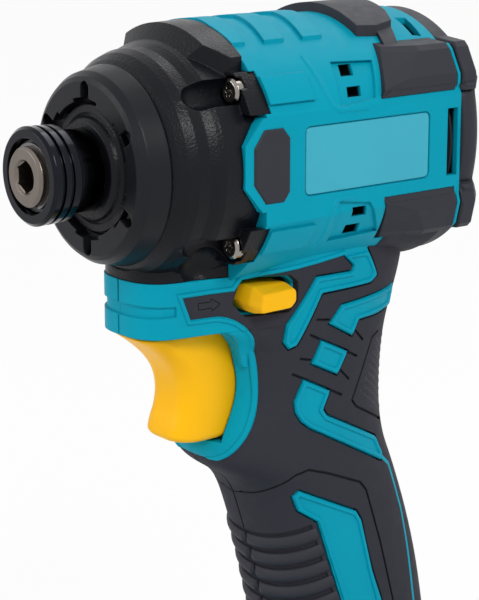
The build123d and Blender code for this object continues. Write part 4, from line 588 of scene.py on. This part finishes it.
# Sections of raised details: places across as shares of the width, or in millimetres for RIM, and shares
# of the rise. Their edges are sunk by a depth in millimetres.
SINK = 0.04
LINE = [(-0.5, -SINK), (0, 0.05), (0.5, -SINK)]
BEAD = [(-0.5, -SINK), (-0.36, 0.55), (-0.16, 0.92), (0, 1), (0.16, 0.92), (0.36, 0.55), (0.5, -SINK)]
STEP = [(-0.4, -SINK), (-0.16, 0.85), (0, 1), (0.4, 0.75), (0.8, 0.35), (1.2, -SINK)]
RIM = [(0.1, -SINK), (0.22, 0.7), (0.36, 1.0), (0.95, 1.0), (1.1, 0.7), (1.2, -SINK)]
RIM_RISE = 0.5
RIM_CORNER = 0.6


def raised(lift, rise):
    """Height of a section's point, scaled where it stands above the surface."""
    return lift * rise if lift > 0 else lift


def strip(bm, trees, side, path, width, section, closed=False, rise=1.0):
    """Strip of a section, along a path on a surface."""
    points = stepped([path], closed)[0]
    last = len(points) - 1
    rows = []
    for index, point in enumerate(points):
        after = points[(index + 1) % len(points)] if closed else points[min(index + 1, last)]
        before = points[index - 1] if closed or index else point
        along = (after - before).normalized()
        across = Vector((-along.y, along.x)) * width
        row = []
        for share, lift in section:
            row.append(seen_from_side(trees, side, *(point + across * share), raised(lift, rise)))
        rows.append(row)
    skin(bm, rows, closed)


def rim(bm, trees, side, outline, count=None):
    """Raised band just inside a whole outline, or just outside it along a count of its first corners."""
    way = -1 if count else 1
    rings = [inset(outline, way * amount) for amount, lift in RIM]
    if count:
        rings = stepped([ring[:count] for ring in rings], False)
    else:
        rings = stepped([rounded(ring, RIM_CORNER) for ring in rings], True)
    lifts = [raised(lift, RIM_RISE) for amount, lift in RIM]
    rows = [
        [seen_from_side(trees, side, *point, lift) for point, lift in zip(points, lifts)]
        for points in zip(*rings)
    ]
    skin(bm, rows, not count)


def island_rims(name, side):
    """Rims of the coloured islands in the rubber, and of the shell by the trigger and the rubber's tongue."""
    trees = side_surface("housing_", name)
    bm = bmesh.new()
    for outline in (SQUARE, ELBOW, WEDGE, INLAY, ZIGZAG):
        rim(bm, trees, side, outline)
    front = [tuple(point) for point in smooth(GUARD)] + TONGUE
    rim(bm, trees, side, front + BEHIND_TONGUE, len(front))
    finished("island_rims_" + name, bm, FINE_TEAL, "housing")


BARREL_STEP_WIDTH = 1.0
BARREL_STEP_RISE = 0.25


def barrel_steps(name, side):
    """Steps that bound the raised panels on the barrel's side."""
    trees = side_surface("housing_", name)
    bm = bmesh.new()
    for path in BARREL_STEPS:
        strip(bm, trees, side, path, BARREL_STEP_WIDTH, STEP, rise=BARREL_STEP_RISE)
    finished("barrel_steps_" + name, bm, FINE_TEAL, "housing")


ARROW_SHIFT = 2.2
ARROW_LINE = 0.34


def direction_arrow(name, side):
    """Arrow ahead of the selector, whose engraved outline is drawn as a line of painted shade. The right one
    points the other way and clears a screw hole.
    """
    middle = (ARROW[0][0] + ARROW[3][0]) / 2
    outline = ARROW if side > 0 else [(2 * middle - s + ARROW_SHIFT, z) for s, z in ARROW]
    bm = bmesh.new()
    strip(bm, side_surface("grip_", name), side, outline, ARROW_LINE, LINE, closed=True)
    finished("direction_arrow_" + name, bm, GROOVE_SHADE, "housing")


SCALE_FIRST = (79.0, -72.0)
SCALE_PITCH = (2.8, 2.0)
SCALE_ROWS = 27
SCALE_COLUMNS = 9
SCALE_SLANT = 0.4
SCALE_PEAK = 0.5
SCALE_RISE = 0.45
SCALE_FADE = 0.75
SCALE_FADE_FROM = 85.0
SCALE_FADE_OVER = 5.0


def inside(outline, s, z):
    """Whether a point lies in a closed outline."""
    crossings = 0
    for a, b in edges(outline):
        if (a[1] > z) != (b[1] > z) and s < a[0] + (z - a[1]) * (b[0] - a[0]) / (b[1] - a[1]):
            crossings += 1
    return crossings % 2 == 1


def scale(bm, trees, side, s, z):
    """Low slanted pyramid, lower towards the rear. It is left out where it crosses the edge of the patch."""
    half_s, half_z = SCALE_PITCH[0] / 2, SCALE_PITCH[1] / 2
    corners = [(s - half_s, z - SCALE_SLANT), (s, z - half_z), (s + half_s, z + SCALE_SLANT), (s, z + half_z)]
    if not all(inside(SCALES, *corner) for corner in corners):
        return
    ring = [seen_from_side(trees, side, *corner, -SINK) for corner in corners]
    fade = 1 - SCALE_FADE * min(1.0, max(0.0, (s - SCALE_FADE_FROM) / SCALE_FADE_OVER))
    peak = seen_from_side(trees, side, s + SCALE_PEAK, z - SCALE_PEAK, SCALE_RISE * fade)
    if peak and all(ring):
        top = bm.verts.new(peak)
        for a, b in edges([bm.verts.new(point) for point in ring]):
            bm.faces.new((a, b, top))


def rear_scales(name, side):
    """Overlapping scales on the patch behind the grip."""
    trees = side_surface("grip_", name)
    (first_s, first_z), (step_s, step_z) = SCALE_FIRST, SCALE_PITCH
    bm = bmesh.new()
    for row in range(SCALE_ROWS):
        for column in range(SCALE_COLUMNS):
            s = first_s + step_s * (column + row % 2 / 2)
            scale(bm, trees, side, s, first_z + step_z / 2 * row)
    finished("rear_scales_" + name, bm, FINE_RUBBER, "housing", flat=True)


RIBS = 8
RIB_TILT = math.radians(21.6)
RIB_PITCH = 4.75
RIB_TOP = (64.0, -93.8)
RIB_CORE = 20.0
RIB_WIDTH = 3.3
RIB_RISE = 0.8
RIB_START = 0.4
RIB_END = 68.0
RIB_STEPS = 40
RIB_ROUND_STEPS = 6
RIB_TIP = 0.05
RIB_AT_PARTING = 0.6


def round_front(tree, core, forwards, side, degrees, lift):
    """Point raised over a surface, in a direction from a core point that turns from the front to a side."""
    angle = math.radians(degrees)
    out = forwards * math.cos(angle) + Vector((side * math.sin(angle), 0, 0))
    place, normal = tree.ray_cast(core + out * FAR_OUT * MM, -out)[:2]
    return place and place + normal * lift * MM


def finger_ribs(name, side):
    """Rounded ribs between the grooves in front of the grip, from the parting line to round ends."""
    tree = surface("grip_" + name)
    forwards = Vector((0, -math.cos(RIB_TILT), -math.sin(RIB_TILT)))
    upwards = Vector((0, -math.sin(RIB_TILT), math.cos(RIB_TILT)))
    bm = bmesh.new()
    for index in range(RIBS):
        core = spot(0, *RIB_TOP) - forwards * RIB_CORE * MM - upwards * RIB_PITCH * (index + 0.5) * MM
        rows = []
        for step in range(RIB_STEPS + 1):
            degrees = RIB_START + (RIB_END - RIB_START) * step / RIB_STEPS
            past = max(0, (step - RIB_STEPS + RIB_ROUND_STEPS) / RIB_ROUND_STEPS)
            full = max(RIB_TIP, math.sqrt(1 - past ** 2)) * (RIB_AT_PARTING if step == 0 else 1.0)
            row = []
            for share, lift in BEAD:
                start = core + upwards * RIB_WIDTH * share * full * MM
                row.append(round_front(tree, start, forwards, side, degrees, raised(lift, RIB_RISE * full)))
            rows.append(row)
        skin(bm, rows, False)
    finished("finger_ribs_" + name, bm, FINE_RUBBER, "housing")


SEAM_FRONT = -84.3
SEAM_SIDE = -83.6
SEAM_CORE = 70.0
SEAM_WIDTH = 0.5
SEAM_STEPS = 30
SEAM_START = 0.6
SEAM_TURN = 0.45


def front_seam(name, side):
    """Seam across the front of the grip, drawn as a line of painted shade, which joins the one on its side.
    """
    tree = surface("grip_" + name)
    bm = bmesh.new()
    rows = []
    for step in range(SEAM_STEPS + 1):
        z = SEAM_FRONT + (SEAM_SIDE - SEAM_FRONT) * step / SEAM_STEPS
        degrees = SEAM_START + step * SEAM_TURN
        row = []
        for share, lift in LINE:
            core = spot(0, SEAM_CORE, z + share * SEAM_WIDTH)
            row.append(round_front(tree, core, FORWARDS, side, degrees, lift))
        rows.append(row)
    skin(bm, rows, False)
    finished("front_seam_" + name, bm, GROOVE_SHADE, "housing", outwards=FORWARDS)


LABEL_CENTRE = (74.0, 1.1)
LABEL_HALF = (18.7, 7.6)
LABEL_CORNER = 1.3
LABEL_LEVELS = [(27.5, 0), (27.76, 0), (27.88, 0.05), (27.92, 0.16)]


def label_plate(name, side):
    """Plain glossy plate in the recess on the barrel's side."""
    (s, z), (half_s, half_z) = LABEL_CENTRE, LABEL_HALF
    outline = [(s + a * half_s, z + b * half_z) for a, b in ((-1, -1), (1, -1), (1, 1), (-1, 1))]
    rings = []
    for x, shrink in LABEL_LEVELS:
        rings.append([spot(side * x, *point) for point in rounded(inset(outline, shrink), LABEL_CORNER)])
    bm = bmesh.new()
    loft(bm, rings)
    finished("label_plate_" + name, bm, LABEL, "housing", flat=True)


for name, side in SIDES.items():
    island_rims(name, side)
    barrel_steps(name, side)
    direction_arrow(name, side)
    rear_scales(name, side)
    finger_ribs(name, side)
    front_seam(name, side)
    label_plate(name, side)

# Blocks on the rear corners and the lugs behind them. Each section runs from the barrel's side to its top or
# underside, as distances across and heights.
UPPER_SECTION = [(27.3, 12.9), (28.3, 15.0), (28.3, 17.2), (25.4, 22.8), (24.2, 24.0), (17.5, 24.6)]
UPPER_START = [(27.5, 13.0), (28.1, 15.0), (26.5, 17.2), (22.0, 22.8), (21.0, 24.0), (17.5, 24.6)]
UPPER_START_AT = [78.0, 78.6, 79.6, 82.4, 83.2, 83.4]
UPPER_FULL_AT = [79.4, 83.6, 86.0, 91.2, 91.6, 91.8]
LOWER_SECTION = [(27.6, -9.6), (28.6, -11.5), (29.3, -13.8), (28.0, -19.2), (26.8, -20.4), (20.5, -21.0)]
LOWER_START = [(27.7, -9.6), (28.5, -11.4), (27.4, -14.0), (23.9, -19.2), (23.0, -20.4), (20.5, -21.0)]
LOWER_START_AT = [78.8, 79.2, 80.0, 81.6, 82.0, 82.2]
LOWER_FULL_AT = [80.0, 82.6, 88.6, 91.8, 92.2, 92.4]
CORNERS = [
    (UPPER_SECTION, UPPER_START, UPPER_START_AT, UPPER_FULL_AT),
    (LOWER_SECTION, LOWER_START, LOWER_START_AT, LOWER_FULL_AT),
]
BLOCK_END = 101.5
BLOCK_CHAMFER = 0.4
LUG_SPAN = (103.2, 109.7)
LUG_SLOPE = (2.4, 2.2)
CORNER_RIB_SPAN = (101.9, 102.7)
CORNER_RIB_DEPTH = 0.5
CORNER_RADIUS = 30.0


def corner_ring(side, section, stations, less=0.0):
    """Ring of a section at a station for each of its points, drawn in towards the axis."""
    shrink = 1 - less / CORNER_RADIUS
    return [spot(side * (x - less), s, z * shrink) for (x, z), s in zip(section, stations)]


def level_ring(side, section, s, less):
    """Ring of a section at one station."""
    return corner_ring(side, section, [s] * len(section), less)


def corner_blocks(name, side):
    """Faceted block and lug on the upper and lower rear corner."""
    lug_front, lug_rear = LUG_SPAN
    slope_length, slope_depth = LUG_SLOPE
    block_rear = [(BLOCK_END - BLOCK_CHAMFER, 0.0), (BLOCK_END, BLOCK_CHAMFER)]
    lug = [
        (lug_front, BLOCK_CHAMFER),
        (lug_front + BLOCK_CHAMFER, 0.0),
        (lug_rear - slope_length, 0.0),
        (lug_rear, slope_depth),
    ]
    bm = bmesh.new()
    for section, start, start_at, full_at in CORNERS:
        rings = [corner_ring(side, start, start_at), corner_ring(side, section, full_at)]
        loft(bm, rings + [level_ring(side, section, s, less) for s, less in block_rear])
        loft(bm, [level_ring(side, section, s, less) for s, less in lug])
    finished("corner_blocks_" + name, bm, BLACK, "housing", flat=True)


def corner_ribs(name, side):
    """Thin coloured ribs between the blocks and the lugs."""
    bm = bmesh.new()
    for section in (UPPER_SECTION, LOWER_SECTION):
        loft(bm, [level_ring(side, section, s, CORNER_RIB_DEPTH) for s in CORNER_RIB_SPAN])
    finished("corner_ribs_" + name, bm, FINE_TEAL, "housing", flat=True)


BULGE_Z = (-9.2, 12.6)
BULGE_X = (27.62, 29.0)
BULGE_INNER_X = 23.0
BULGE_STEPS = 16
BULGE_AT = [(103.2, 0.5), (103.5, 0.0), (107.0, 0.0), (108.4, 0.8), (109.3, 1.9), (109.8, 3.2)]


def cap_bulge(name, side):
    """Round side of the rear cap between its lugs."""
    low, high = BULGE_Z
    flat, full = BULGE_X
    bm = bmesh.new()
    rings = []
    for s, less in BULGE_AT:
        ring = []
        for step in range(BULGE_STEPS + 1):
            share = 2 * step / BULGE_STEPS - 1
            x = flat + (full - flat) * (1 - share * share) - less
            ring.append(spot(side * x, s, (low + high) / 2 + share * (high - low) / 2))
        ring += [spot(side * BULGE_INNER_X, s, z) for z in (high, low)]
        rings.append(ring)
    loft(bm, rings)
    finished("cap_bulge_" + name, bm, BLACK, "housing")


for name, side in SIDES.items():
    corner_blocks(name, side)
    corner_ribs(name, side)
    cap_bulge(name, side)

# Rubber that runs from the back of the grip over the barrel's underside, between the corner blocks
UNDERSIDE = (84.0, 103.2)
UNDERSIDE_RADIUS = 30.66
UNDERSIDE_ANGLE = 47.5
UNDERSIDE_ROWS = 38
UNDERSIDE_COLUMNS = 64
PROBE_GAP = 0.2 * MM
PROBE_LENGTH = 30 * MM


def underside_rubber():
    """Sheet close on the barrel, left out above the grip."""
    grip = surface("grip_left", "grip_right", "housing_left", "housing_right")
    front, rear = UNDERSIDE
    bm = bmesh.new()
    rows = []
    for row in range(UNDERSIDE_ROWS + 1):
        s = front + (rear - front) * row / UNDERSIDE_ROWS
        points = []
        for column in range(UNDERSIDE_COLUMNS + 1):
            angle = math.radians(UNDERSIDE_ANGLE * (2 * column / UNDERSIDE_COLUMNS - 1))
            point = spot(UNDERSIDE_RADIUS * math.sin(angle), s, -UNDERSIDE_RADIUS * math.cos(angle))
            hit = grip.ray_cast(point - Vector((0, 0, PROBE_GAP)), DOWNWARDS, PROBE_LENGTH)[0]
            points.append((bm.verts.new(point), hit is None))
        rows.append(points)
    for a, b in zip(rows, rows[1:]):
        for i in range(UNDERSIDE_COLUMNS):
            corners = (a[i], a[i + 1], b[i + 1], b[i])
            if any(outside for vertex, outside in corners):
                bm.faces.new([vertex for vertex, outside in corners])
    bmesh.ops.delete(bm, geom=[v for v in bm.verts if not v.link_faces], context="VERTS")
    finished("underside_rubber", bm, RUBBER, "housing", outwards=DOWNWARDS)


underside_rubber()

# Shoulders that carry the chin's side down into the trigger guard, coloured inside the guard's outline and
# rubber behind it
SHOULDER_INNER = [(43.0, -39.3), (45.4, -40.4), (47.2, -42.4), (48.6, -45.2), (50.2, -49.0)]
SHOULDER_OUTER = [(48.4, -39.0), (50.1, -41.1), (51.5, -44.0), (52.4, -46.8), (53.1, -50.0)]
SHOULDER_BACK = 56.8
SHOULDER_LIP = [
    (0, -0.5),
    (0.06, 0),
    (0.2, 0),
    (0.4, 0),
    (0.6, 0),
    (0.76, 0),
    (0.8, 0.35),
    (0.97, 0.35),
    (1, -0.1),
]
SHOULDER_SHARES = (0, 0.03, 0.12, 0.25, 0.4, 0.6, 0.8, 1)
SHOULDER_STEPS = 4
SHOULDER_WALL = 2.2
SHOULDER_TUCK = (1.5, 0.2)
GUARD_SIDE = 12.0
CHIN_FRONT = 43.0
CHIN_SIDE = 14.2
CHIN_SPLAY = 0.31

# The rubber ends at a share of the fall, falls at a quicker pace, and lies over the grip behind the outline
FALL_END = 0.75
FALL_PACE = 1.5
GRIP_CLEAR = 0.6
GRIP_LIFT = 0.04


def chin_side(s):
    """Distance across of the chin's side at a station."""
    return CHIN_SIDE + CHIN_SPLAY * (s - CHIN_FRONT)


def shoulder_rows():
    """Points of both outlines of the guard from the chin down, with the share of the fall at each."""
    inner, outer = smooth(SHOULDER_INNER, SHOULDER_STEPS), smooth(SHOULDER_OUTER, SHOULDER_STEPS)
    for step, (a, b) in enumerate(zip(inner, outer)):
        yield a, b, (1 - math.cos(math.pi * step / (len(inner) - 1))) / 2


def guard_shoulder(name, side):
    """Coloured shoulder with a lip along the guard's outline. Both its edges turn inwards."""
    tuck_x, tuck_s = SHOULDER_TUCK
    bm = bmesh.new()
    rows = []
    for inner, outer, fall in shoulder_rows():
        row = []
        for share, lip in SHOULDER_LIP:
            s, z = inner.lerp(outer, share)
            row.append((chin_side(s) + (GUARD_SIDE - chin_side(s)) * fall + lip * (1 - fall), s, z))
        (x, s, z), (last_x, last_s, last_z) = row[0], row[-1]
        row = [(x - SHOULDER_WALL, s, z)] + row + [(last_x - tuck_x, last_s + tuck_s, last_z)]
        rows.append([spot(side * x, s, z) for x, s, z in row])
    skin(bm, rows, False)
    finished("guard_shoulder_" + name, bm, FINE_TEAL, "housing", outwards=Vector((side, 0, 0)))


def rubber_shoulder(name, side):
    """Rubber behind the coloured shoulder, which falls to the grip below and behind."""
    trees = side_surface("grip_", name)
    bm = bmesh.new()
    rows = []
    for inner, outer, fall in shoulder_rows():
        if fall > FALL_END:
            break
        row = []
        for share in SHOULDER_SHARES:
            s = outer.x + (SHOULDER_BACK - outer.x) * share
            below = seen_from_side(trees, side, max(s, outer.x + GRIP_CLEAR), outer.y, 0)
            low = abs(below.x) / MM if below else chin_side(s)
            rest = max(0.0, 1 - FALL_PACE * fall) * (1 - share ** 3)
            row.append((low + max(0.0, chin_side(s) - low) * rest + GRIP_LIFT, s, outer.y))
        x, s, z = row[0]
        row.insert(0, (x - SHOULDER_WALL, s, z))
        rows.append([spot(side * x, s, z) for x, s, z in row])
    skin(bm, rows, False)
    finished("rubber_shoulder_" + name, bm, RUBBER, "housing", outwards=Vector((side, 0, 0)))


for name, side in SIDES.items():
    guard_shoulder(name, side)
    rubber_shoulder(name, side)

# Trigger with a hollow for the fingertip, soft edges and a round toe
TRIGGER_FRONT = [
    (25.0, -40.0),
    (29.2, -43.1),
    (33.0, -46.6),
    (35.6, -50.4),
    (36.7, -55.0),
    (36.2, -59.4),
    (34.7, -63.6),
    (34.2, -66.9),
]
TRIGGER_HALF = 8.5
TRIGGER_REAR = 54.0
TRIGGER_CORNER = 5.5
TRIGGER_CORNER_STEPS = 10
TRIGGER_FLAT = 0.2
TRIGGER_LEVELS = 24
TRIGGER_FACE_STEPS = 12
TRIGGER_TOE = (2.8, 1.9)
TRIGGER_TOE_STEPS = 9


def quarter_turn(steps):
    """Angles of a quarter turn in equal steps."""
    return [math.radians(90 * step / steps) for step in range(steps + 1)]


def trigger_face(z):
    """Station of the trigger's front at a height."""
    curve = smooth(TRIGGER_FRONT, TRIGGER_FACE_STEPS)
    for a, b in zip(curve, curve[1:]):
        if b.y <= z <= a.y:
            return a.x + (b.x - a.x) * (a.y - z) / (a.y - b.y)
    return curve[-1].x


def soft_trigger():
    """Sections of the trigger from its top to its toe, each with round front corners."""
    top, bottom = TRIGGER_FRONT[0][1], TRIGGER_FRONT[-1][1]
    inwards, upwards = TRIGGER_TOE
    bend = bottom + upwards
    levels = [(top + (bend - top) * step / TRIGGER_LEVELS, 0.0) for step in range(TRIGGER_LEVELS)]
    for angle in quarter_turn(TRIGGER_TOE_STEPS):
        levels.append((bend - upwards * math.sin(angle), inwards * (1 - math.cos(angle))))
    rings = []
    for z, shrink in levels:
        half = TRIGGER_HALF - shrink
        front = trigger_face(z) + shrink
        corner = min(TRIGGER_CORNER, half - TRIGGER_FLAT)
        near = [(half, TRIGGER_REAR)]
        for angle in quarter_turn(TRIGGER_CORNER_STEPS):
            near.append((half - corner + corner * math.cos(angle), front + corner - corner * math.sin(angle)))
        outline = near + [(-x, s) for x, s in reversed(near)]
        rings.append([spot(x, s, z) for x, s in outline])
    bm = bmesh.new()
    loft(bm, rings)
    return finished("trigger_moulding", bm, YELLOW, "trigger")


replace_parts(soft_trigger(), "trigger")

# Selector: a bar through the housing, with a bevelled cap on each end
CAP_BASE = [
    (46.9, -32.4),
    (48.4, -34.8),
    (57.8, -34.6),
    (59.2, -33.2),
    (59.1, -29.8),
    (57.8, -28.6),
    (48.0, -28.3),
]
CAP_FACE = [
    (48.1, -32.7),
    (48.4, -34.1),
    (56.9, -34.0),
    (58.4, -32.6),
    (58.4, -30.4),
    (57.8, -29.6),
    (48.7, -29.9),
]
CAP_CORNER = 0.6
BAR_CORNER = 0.4
BAR_END = 9.5
CAP_LEVELS = [(BAR_END, 0.0), (17.2, 0.0), (18.0, 0.06), (20.6, 0.8), (21.05, 0.93), (21.2, 1.08)]
BAR = [(48.5, -33.0), (57.0, -33.0), (57.0, -29.0), (48.5, -29.0)]


def soft_selector():
    """Both caps with soft bevels, and the bar between them."""
    bm = bmesh.new()
    for side in SIDES.values():
        rings = []
        for x, share in CAP_LEVELS:
            outline = [tuple(Vector(a).lerp(Vector(b), share)) for a, b in zip(CAP_BASE, CAP_FACE)]
            rings.append([spot(side * x, *point) for point in rounded(outline, CAP_CORNER)])
        loft(bm, rings)
    tube(bm, [[spot(x, *point) for point in rounded(BAR, BAR_CORNER)] for x in (-BAR_END, BAR_END)])
    return finished("selector_moulding", bm, YELLOW, "selector", flat=True)


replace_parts(soft_selector(), "selector")

# Springs shorten towards their fixed end as they are pressed; here each only gets a mesh of its own. The last
# value is the share of length kept.
SPRINGS = [
    ("hammer_spring", "hammer_slide", (0, 1, 0), (0, -29.5 * MM, AXIS_Z), 7.7 / 12.7),
    ("sleeve_spring", "sleeve_slide", (0, 1, 0), (0, -82.6 * MM, AXIS_Z), 3.0 / 7.0),
    ("latch_spring", "latch_slide", (0, 0, 1), (0, -50 * MM, 13 * MM), 11.0 / 14.0),
]
for name, joint, axis, anchor, keep in SPRINGS:
    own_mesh(nodes[name])


# Stage

def seen_directly(tree):
    """1 for rays from the camera and for mirror and glass rays, which all show the white background."""
    path = tree.nodes.new("ShaderNodeLightPath")
    total = path.outputs["Is Camera Ray"]
    for ray in ("Is Glossy Ray", "Is Transmission Ray"):
        either = tree.nodes.new("ShaderNodeMath")
        either.operation = "MAXIMUM"
        tree.links.new(total, either.inputs[0])
        tree.links.new(path.outputs[ray], either.inputs[1])
        total = either.outputs[0]
    return total


WHITE = (1.0, 1.0, 1.0, 1.0)
FLOOR_GREY = (0.88, 0.88, 0.88, 1.0)
FLOOR_WHITE = 0.94
FLOOR_SIZE = 12.0
SKY = 0.47


def floor_material():
    """White to the camera with some of the object's shadow, and pale to the light."""
    mat = bpy.data.materials.new("pale_floor")
    mat.use_nodes = True
    tree = mat.node_tree
    tree.nodes.clear()
    out = tree.nodes.new("ShaderNodeOutputMaterial")
    mix = tree.nodes.new("ShaderNodeMixShader")
    lit = tree.nodes.new("ShaderNodeBsdfDiffuse")
    lit.inputs["Color"].default_value = FLOOR_GREY
    white = tree.nodes.new("ShaderNodeEmission")
    white.inputs["Color"].default_value = WHITE
    white.inputs["Strength"].default_value = 1.0
    most = tree.nodes.new("ShaderNodeMath")
    most.operation = "MULTIPLY"
    most.inputs[1].default_value = FLOOR_WHITE
    tree.links.new(seen_directly(tree), most.inputs[0])
    tree.links.new(most.outputs[0], mix.inputs["Fac"])
    tree.links.new(lit.outputs[0], mix.inputs[1])
    tree.links.new(white.outputs[0], mix.inputs[2])
    tree.links.new(mix.outputs[0], out.inputs["Surface"])
    return mat


bpy.ops.mesh.primitive_plane_add(size=FLOOR_SIZE, location=(0, 0, 0))
floor = bpy.context.object
floor.name = "floor"
floor.data.materials.append(floor_material())

world = bpy.data.worlds.new("studio")
bpy.context.scene.world = world
world.use_nodes = True
tree = world.node_tree
background = tree.nodes["Background"]
background.inputs["Color"].default_value = WHITE
level = tree.nodes.new("ShaderNodeMapRange")
level.inputs["To Min"].default_value = SKY
level.inputs["To Max"].default_value = 1.0
tree.links.new(seen_directly(tree), level.inputs["Value"])
tree.links.new(level.outputs["Result"], background.inputs["Strength"])


def area_light(name, place, aim, size, power):
    """Rectangular lamp at a place, turned to a point."""
    data = bpy.data.lights.new(name, "AREA")
    data.shape = "RECTANGLE"
    data.size, data.size_y = size
    data.energy = power
    lamp = bpy.data.objects.new(name, data)
    lamp.location = place
    lamp.rotation_euler = (Vector(aim) - Vector(place)).to_track_quat("-Z", "Y").to_euler()
    bpy.context.scene.collection.objects.link(lamp)


HEAD = (0.0, -0.03, 0.19)
area_light("key", (0.75, -0.24, 0.82), HEAD, (0.3, 0.3), 5.0)
area_light("front", (-0.45, -0.85, 0.55), HEAD, (0.6, 0.4), 3.0)
area_light("back", (-0.2, 0.6, 1.0), HEAD, (0.7, 0.5), 2.6)


# Camera fitted to the photograph. The middle of the sleeve's front face lies at a place in pixels.
PHOTO_WIDTH = 479.0
PHOTO_HEIGHT = 600.0
NOSE_ACROSS_PX = 27.9
NOSE_DOWN_PX = 177.0
SENSOR = 36.0
AZIMUTH = math.radians(51.7)
ELEVATION = math.radians(14.1)
DISTANCE = 0.4335
FOCAL_PX = 2000.0
ACROSS_PX = NOSE_ACROSS_PX - PHOTO_WIDTH / 2
DOWN_PX = NOSE_DOWN_PX - PHOTO_HEIGHT / 2
back = Vector(
    (
        math.sin(AZIMUTH) * math.cos(ELEVATION),
        -math.cos(AZIMUTH) * math.cos(ELEVATION),
        math.sin(ELEVATION),
    )
)
right = Vector((math.cos(AZIMUTH), math.sin(AZIMUTH), 0.0))
up = back.cross(right)
from_nose = back - right * ACROSS_PX / FOCAL_PX + up * DOWN_PX / FOCAL_PX
place = Vector((0.0, NOSE_Y, AXIS_Z)) + DISTANCE * from_nose
lens = bpy.data.cameras.new("camera")
lens.sensor_width = SENSOR
lens.lens = SENSOR * FOCAL_PX / PHOTO_HEIGHT
lens.clip_start = 0.01
camera = bpy.data.objects.new("camera", lens)
camera.matrix_world = Matrix.Translation(place) @ Matrix((right, up, back)).transposed().to_4x4()
bpy.context.scene.collection.objects.link(camera)
bpy.context.scene.camera = camera
bpy.context.scene.view_settings.view_transform = "Standard"
